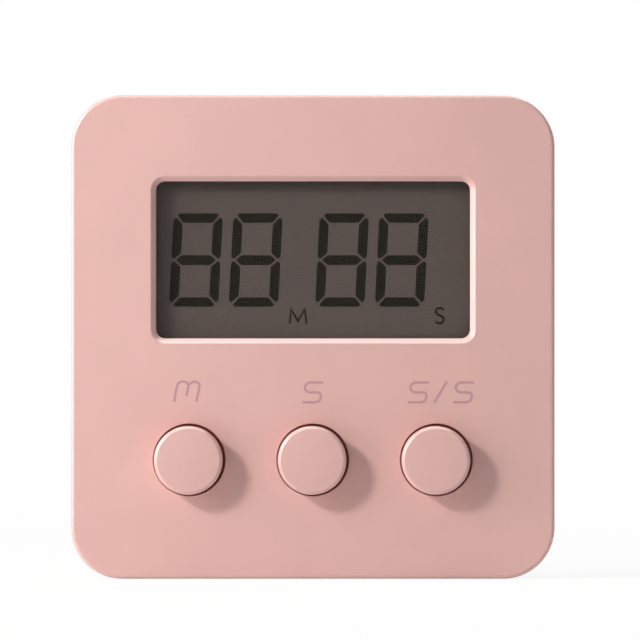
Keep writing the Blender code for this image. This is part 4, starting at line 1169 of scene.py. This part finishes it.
for title, node, places, sizes in (
    ("closing_screw", "case_screw", case_screw_places, in_mm(16.3, 1.0, 1.9, 1.4, 10.0, 0.6)),
    ("small_screw", "board_screw", board_screw_places, in_mm(8.2, 0.7, 1.4, 1.0, 4.5, 0.45)),
):
    for corner, place in zip(screw_corners, places):
        screw = pan_head_screw(f"{title}_{corner}", place, *sizes)
        dress(screw, zinc, "case", "zinc_steel", f"{node}_{corner}")

# %% [markdown]
# ## Inside the case
# What lies inside is seen only when the door is open or a shell is taken off, but every piece still gets
# its finish.

# %% Rubber domes
rubber = dict(lumps=(1.2 * mm, 4.0, 0.6), tone=0.16, gloss=0.16, grit=0.12 * mm, grain=0.06)
rubber.update(depth=0.004 * mm, shine=0.4)
dome_foot = 6.4 * mm
dome_profile = in_mm(
    (0.0, 4.6), (1.9, 4.6), (2.0, 4.63), (2.25, 4.75), (2.35, 4.85), (3.3, 5.8), (3.45, 5.88), (4.5, 5.9),
    (4.6, 6.0), (4.6, 6.4), (3.2, 6.4), (3.15, 6.1), (2.05, 5.35), (1.9, 5.3), (1.2, 5.3), (1.2, 5.65),
    (1.15, 5.7), (0.0, 5.7),
)
silicone = mottled("grey_silicone", (0.27, 0.27, 0.26), 0.5, **rubber)
for name, place in zip(button_names, button_places):
    dome = shade(turned(f"dome_{name}", dome_profile, place, sides=64))
    dress(dome, silicone, "case", "grey_rubber", f"rubber_dome_{name}")
    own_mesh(dome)
print("domes", round((dome_foot - dome_profile[0][1]) / mm, 1), "mm high")

# %% [markdown]
# The cell is a steel can in a printed sleeve. The sleeve covers the side and laps a little over both ends,
# so the finish is told apart by the place along the cell: bare metal at the ends, a light band near the
# plus end, and dark print between. The plus and minus signs are thin prints that follow the round of the
# sleeve.

# %% Battery cell
cell_left, cell_right = in_mm(-20.5, 24.0)
nub_start = cell_right - 1.0 * mm
cell_radius = 5.25 * mm
cell_round = 0.4 * mm
cell_ends = rounded_edge(cell_round, 6, cell_left) + rounded_edge(cell_round, 6, nub_start, -1)[::-1]
cell_profile = in_mm((0.0, -20.2), (3.7, -20.2), (4.0, -20.5), (4.7, -20.5))
cell_profile += [(cell_radius + grow, x) for grow, x in cell_ends]
cell_profile += in_mm((4.6, 23.0), (4.3, 22.75), (2.3, 22.75), (1.9, 23.0))
cell_profile += in_mm((1.9, 23.8), (1.7, 24.0), (0.0, 24.0))
cell = shade(turned("battery_cell_can", cell_profile, (cell_depth, cell_height), "X"))


def sleeve_and_can(name):
    """Printed sleeve with bare metal ends, told apart by the share of the way along the cell."""
    paint = Paint(name)
    share = (paint.along("X") - cell_left) * (1 / (cell_right - cell_left))
    sleeve = share.between(0.012, 0.968, 0.002)
    band = share.between(0.78, 0.86, 0.002)
    grit = paint.noise(0.4 * mm, 3.0, 0.6)
    wear = paint.noise(3.0 * mm, 4.0, 0.65).above(0.68, 0.08)
    sleeve_print = paint.mix(band, (0.045, 0.06, 0.075), (0.55, 0.55, 0.50))
    sleeve_print = paint.mix(wear * 0.3, sleeve_print, (0.35, 0.35, 0.35))
    return paint.finish(
        Base_Color=paint.mix(sleeve, (0.62, 0.61, 0.58), sleeve_print),
        Metallic=1.0 - sleeve * 0.85,
        Roughness=0.32 + (grit - 0.5) * 0.12 + wear * 0.15,
        Normal=paint.bump(grit, 0.003 * mm),
    )


dress(cell, sleeve_and_can("cell_sleeve"), "case", "cell_jacket", "battery_cell")
print("cell", round((cell_right - cell_left) / mm, 1), "mm long")

# %% Plus and minus signs
sign_steps = 6
print_thick = 0.02 * mm


def on_cell(x, radius, up):
    """Point over the cell's axis, where a print has been laid round it to a height above the middle."""
    angle = up / cell_radius
    return (x, face_y + cell_depth + radius * cos(angle), cell_height + radius * sin(angle))


def round_the_cell(left, right, half):
    """Bar of print laid round the cell, between two x values and equally far up and down, in millimetres."""
    outside = cell_radius + print_thick
    section = ((cell_radius, left), (cell_radius, right), (outside, right), (outside, left))
    rings = []
    for step in range(sign_steps + 1):
        up = (2 * step / sign_steps - 1) * half * mm
        rings.append([on_cell(x * mm, radius, up) for radius, x in section])
    return solid_from_rings("sign", rings)


sign_bars = ((15.5, 16.7, 0.3), (17.3, 18.5, 0.3), (16.7, 17.3, 1.5), (-16.3, -15.7, 1.5))
signs = in_one("cell_signs", [round_the_cell(*bar) for bar in sign_bars])
sign_ink = mottled("cell_sign_print", (0.62, 0.62, 0.58), 0.47, **print_cover)
dress(signs, sign_ink, "case", "cell_jacket")
print(len(sign_bars), "bars of print on the cell")

# %% [markdown]
# The spring at the minus end is a cone of round wire. A circle is carried along the spiral, and each ring
# of the tube is turned square to the wire's own direction, so its thickness stays even.

# %% Battery spring
spring_wire = 0.3 * mm
spring_start, spring_travel = in_mm(-23.7, 2.6)
spring_turns = 2.5
spring_steps = 120
wire_sides = 12


def on_spring(share):
    """Point of the spring's centre line."""
    angle = 2 * pi * spring_turns * share
    radius = (2.7 - 0.9 * share) * mm
    depth = face_y + cell_depth + radius * cos(angle)
    return Vector((spring_start + spring_travel * share, depth, cell_height + radius * sin(angle)))


spring_rings = []
round_the_wire = [2 * pi * number / wire_sides for number in range(wire_sides)]
for step in range(spring_steps + 1):
    share = step / spring_steps
    middle = on_spring(share)
    along = (on_spring(share + 0.001) - on_spring(share - 0.001)).normalized()
    side = along.cross(Vector((1.0, 0.0, 0.0))).normalized()
    up = side.cross(along)
    spring_rings.append([middle + spring_wire * (side * cos(a) + up * sin(a)) for a in round_the_wire])
spring = shade(solid_from_rings("minus_spring", spring_rings))
dress(spring, nickel, "case", "nickel", "battery_spring")
print("spring of", spring_turns, "turns in", len(spring_rings), "rings")

# %% [markdown]
# The boost coil is a ferrite drum wound with enamelled wire. Its turns are modelled: a lathe profile with
# one bump for each turn gives the look of a close winding at little cost. The chip hides under a drop of
# black resin, and the crystal sits in a small can of drawn steel.

# %% Coil and chip drop
cast_black = dict(lumps=(0.9 * mm, 3.0, 0.5), tone=0.30, gloss=0.12, depth=0.03 * mm)
board_seat = 8.2 * mm
coil_place = in_mm(-14.0, 27.0)
winding_start, winding_end, winding_root = in_mm(8.8, 10.8, 1.55)
wire_turns = 9
turn_steps = 6
drop_radius, drop_height = in_mm(4.0, 1.4)

drum_profile = in_mm((0.0, 8.2), (2.4, 8.2), (2.5, 8.3), (2.5, 8.8), (1.5, 8.8))
drum_profile += in_mm((1.5, 10.8), (2.5, 10.8), (2.5, 11.3), (2.4, 11.4), (0.0, 11.4))
drum = shade(turned("coil_drum", drum_profile, coil_place, sides=64))
turn_width = (winding_end - winding_start) / wire_turns
winding_profile = [(winding_root, winding_start)]
for turn in range(wire_turns):
    for step in range(1, turn_steps):
        angle = pi * step / turn_steps
        depth = winding_start + turn_width * (turn + (1 - cos(angle)) / 2)
        winding_profile.append(((1.98 + 0.11 * sin(angle)) * mm, depth))
winding_profile.append((winding_root, winding_end))
winding = shade(turned("coil_winding", winding_profile, coil_place, sides=64, loop=True))
drop_profile = [(0.0, board_seat)]
drop_profile += [
    (drop_radius * cos(step / 10 * pi / 2), board_seat + drop_height * sin(step / 10 * pi / 2))
    for step in range(10)
]
drop_profile.append((0.0, board_seat + drop_height))
drop = shade(turned("chip_drop", drop_profile, in_mm(0.0, 24.0), sides=64))
ferrite = mottled("fired_ferrite", (0.035, 0.034, 0.036), 0.55, **cast_black)
resin = mottled("cast_resin", (0.012, 0.012, 0.013), 0.28, **cast_black)
dress(drum, ferrite, "case", "ferrite", "boost_coil")
dress(winding, copper, "case", "ferrite", "boost_coil")
dress(drop, resin, "case", "black_resin", "chip")
print("coil of", wire_turns, "turns of", round(turn_width / mm, 2), "mm")

# %% [markdown]
# The board is glass fibre under green lacquer. Copper tracks show through the lacquer as slightly lighter
# lines: here they are the edges of a coarse cell pattern on a square grid, which gives right-angled tracks
# without drawing each one. The rubber connector has fine stripes, as it is made of conducting and
# insulating layers in turn.

# %% Board, connector and holder
track_spacing = 3.4 * mm
stripe_spacing = 0.36 * mm


def lacquered_board(name):
    """Green lacquer over copper tracks."""
    paint = Paint(name)
    grid = {"Vector": paint.stretched(1.0, 0.0, 1.0), "Scale": 1 / track_spacing, "Randomness": 0.75}
    cells = paint.node("ShaderNodeTexVoronoi", grid, "Distance", distance="CHEBYCHEV")
    tracks = paint.sum("FRACT", cells * 6.0).above(0.55, 0.06)
    weave = paint.noise(0.5 * mm)
    lacquer = paint.mix(tracks, (0.012, 0.10, 0.045), (0.03, 0.20, 0.09))
    return paint.finish(
        Base_Color=paint.times(lacquer, 0.94 + weave * 0.12),
        Roughness=0.30 + (weave - 0.5) * 0.1,
        Normal=paint.bump(tracks * 0.8 + weave * 0.2, 0.02 * mm),
        Coat_Weight=0.3,
    )


def striped_rubber(name):
    """Conducting and insulating layers in turn."""
    paint = Paint(name)
    stripe = paint.sum("SINE", paint.along("X") * (2 * pi / stripe_spacing))
    return paint.finish(
        Base_Color=paint.mix(stripe.above(0.0, 0.4), (0.015, 0.015, 0.016), (0.22, 0.20, 0.18)),
        Roughness=0.6 + (paint.noise(0.3 * mm) - 0.5) * 0.15,
        Normal=paint.bump(stripe, 0.01 * mm),
    )


def white_moulding(name):
    """Natural white plastic with faint flow clouds."""
    paint = Paint(name)
    grain = paint.noise(0.3 * mm)
    return paint.finish(
        Base_Color=paint.mix(paint.noise(6 * mm, 3.0), (0.66, 0.65, 0.61), (0.72, 0.71, 0.68)),
        Roughness=0.45 + (grain - 0.5) * 0.12,
        Normal=paint.bump(grain, 0.005 * mm),
    )


redress(lacquered_board("green_board"), "circuit_board")
redress(striped_rubber("striped_connector"), "zebra_strip")
redress(white_moulding("white_moulding"), "lcd_holder")

# %% Films, contacts, buzzer and leads
red_lead = mottled("red_lead_sleeve", (0.35, 0.012, 0.010), 0.42, **rubber)
black_lead = mottled("black_lead_sleeve", (0.015, 0.015, 0.016), 0.42, **rubber)
redress(plated_metal("silver_film", (0.62, 0.62, 0.60), 0.42, 4.0), "lcd_reflector")
redress(nickel, "positive_contact", "negative_contact", "crystal")
redress(brass, "buzzer_plate")
redress(plated_metal("silvered_ceramic", (0.70, 0.69, 0.65), 0.50, 2.0), "buzzer_ceramic")
redress(red_lead, "positive_lead", "buzzer_lead_ceramic")
redress(black_lead, "negative_lead", "buzzer_lead_plate")
print(len(bpy.data.materials), "materials")

# %% [markdown]
# ## The room
# The timer stands on a plain white floor in a plain white room. What the camera sees of the room, directly,
# in a reflection or through the window, is white by itself, by a Light Path switch, so no extra light has
# to fall on the timer for it. For all other rays the room is nearly dark, and the lamps do the work. The
# floor's own shading shows through a little near the timer, which keeps its shadow.

# %% Floor and world
room_light = 0.05
floor_glow = 0.90
floor_reach = 0.45
floor_half = 3.0
white = (1.0, 1.0, 1.0)


def seen_directly(paint):
    """1 for rays that show the room itself, straight, mirrored or through glass, and 0 for the others."""
    camera_ray, glossy, through_glass = (
        paint.node("ShaderNodeLightPath", output=f"Is {kind} Ray")
        for kind in ("Camera", "Glossy", "Transmission")
    )
    return paint.sum("ADD", camera_ray + glossy, through_glass, use_clamp=True)


floor_data = bpy.data.meshes.new("floor")
floor_corners = [(x * floor_half, y * floor_half, -0.01 * mm) for x, y in corner_signs]
floor_data.from_pydata(floor_corners, [], [(0, 1, 2, 3)])
floor = add_object("floor", floor_data)
floor_paint = Paint("floor_white")
floor_paint.finish(Base_Color=(0.86, 0.86, 0.86), Roughness=0.9, Specular_IOR_Level=0.0)
away = floor_paint.vector("LENGTH", floor_paint.node("ShaderNodeNewGeometry", output="Position"))
rise = (1.0 - floor_glow) / floor_reach
share = floor_glow + floor_paint.sum("MULTIPLY", away, rise, use_clamp=True)
glow = floor_paint.node("ShaderNodeEmission", {"Color": white, "Strength": 1.0})
paint_over(floor, floor_paint.mix_surface(seen_directly(floor_paint) * share, glow))

room = Paint("white_room", bpy.data.worlds)
bpy.context.scene.world = room.block
backdrop = room.tree.nodes["Background"].inputs
room.join(backdrop["Color"], white)
room.join(backdrop["Strength"], room_light + seen_directly(room) * (1.0 - room_light))
print("floor", 2 * floor_half, "m wide, room at", room_light)

# %% [markdown]
# The lamps are soft boxes. Each is given by the direction that it shines from, its distance, its size and
# its power, and turned towards the middle of the timer. The key lamp at the upper left gives the shadows
# their direction. A warm lamp lights the left side, two narrow strips graze the left and the upper edge,
# and a large one lights the floor and the room behind. The lamps don't show themselves to the camera. Nor
# do they to rays that go through the window, because the film behind it already gets their light as shadow
# rays, and would get it twice.

# %% Lamps
def soft_box(name, direction, distance, width, height, power, colour=white):
    """Area lamp that looks at the middle of the timer."""
    data = bpy.data.lights.new(name, "AREA")
    data.shape = "RECTANGLE"
    data.size = width
    data.size_y = height
    data.energy = power
    data.color = colour
    lamp = add_object(name, data)
    away = Vector(direction).normalized()
    lamp.location = Vector((0.0, 0.0, middle_height)) + away * distance
    lamp.rotation_euler = away.to_track_quat("Z", "Y").to_euler()
    lamp.visible_camera = False
    lamp.visible_transmission = False
    return lamp


cool = (0.98, 1.0, 1.0)
warm = (1.0, 0.92, 0.89)
lamps = [
    soft_box("key", (-0.700, -0.558, 0.446), 0.60, 0.085, 0.085, 2.24, cool),
    soft_box("left", (-1.0, -0.45, 0.10), 0.25, 0.12, 0.40, 0.64, warm),
    soft_box("left_edge", (-1.0, -0.11, 0.0), 0.30, 0.04, 0.40, 0.32, warm),
    soft_box("above_edge", (0.0, -0.11, 1.0), 0.30, 0.34, 0.045, 0.43),
    soft_box("behind", (0.5, 1.0, 0.7), 0.80, 0.60, 0.60, 3.0),
]
print(len(lamps), "lamps")

bpy.context.scene.view_settings.view_transform = "Standard"

# %% [markdown]
# ## Closing
# The last line updates the view layer.

# %% Finish
bpy.context.view_layer.update()
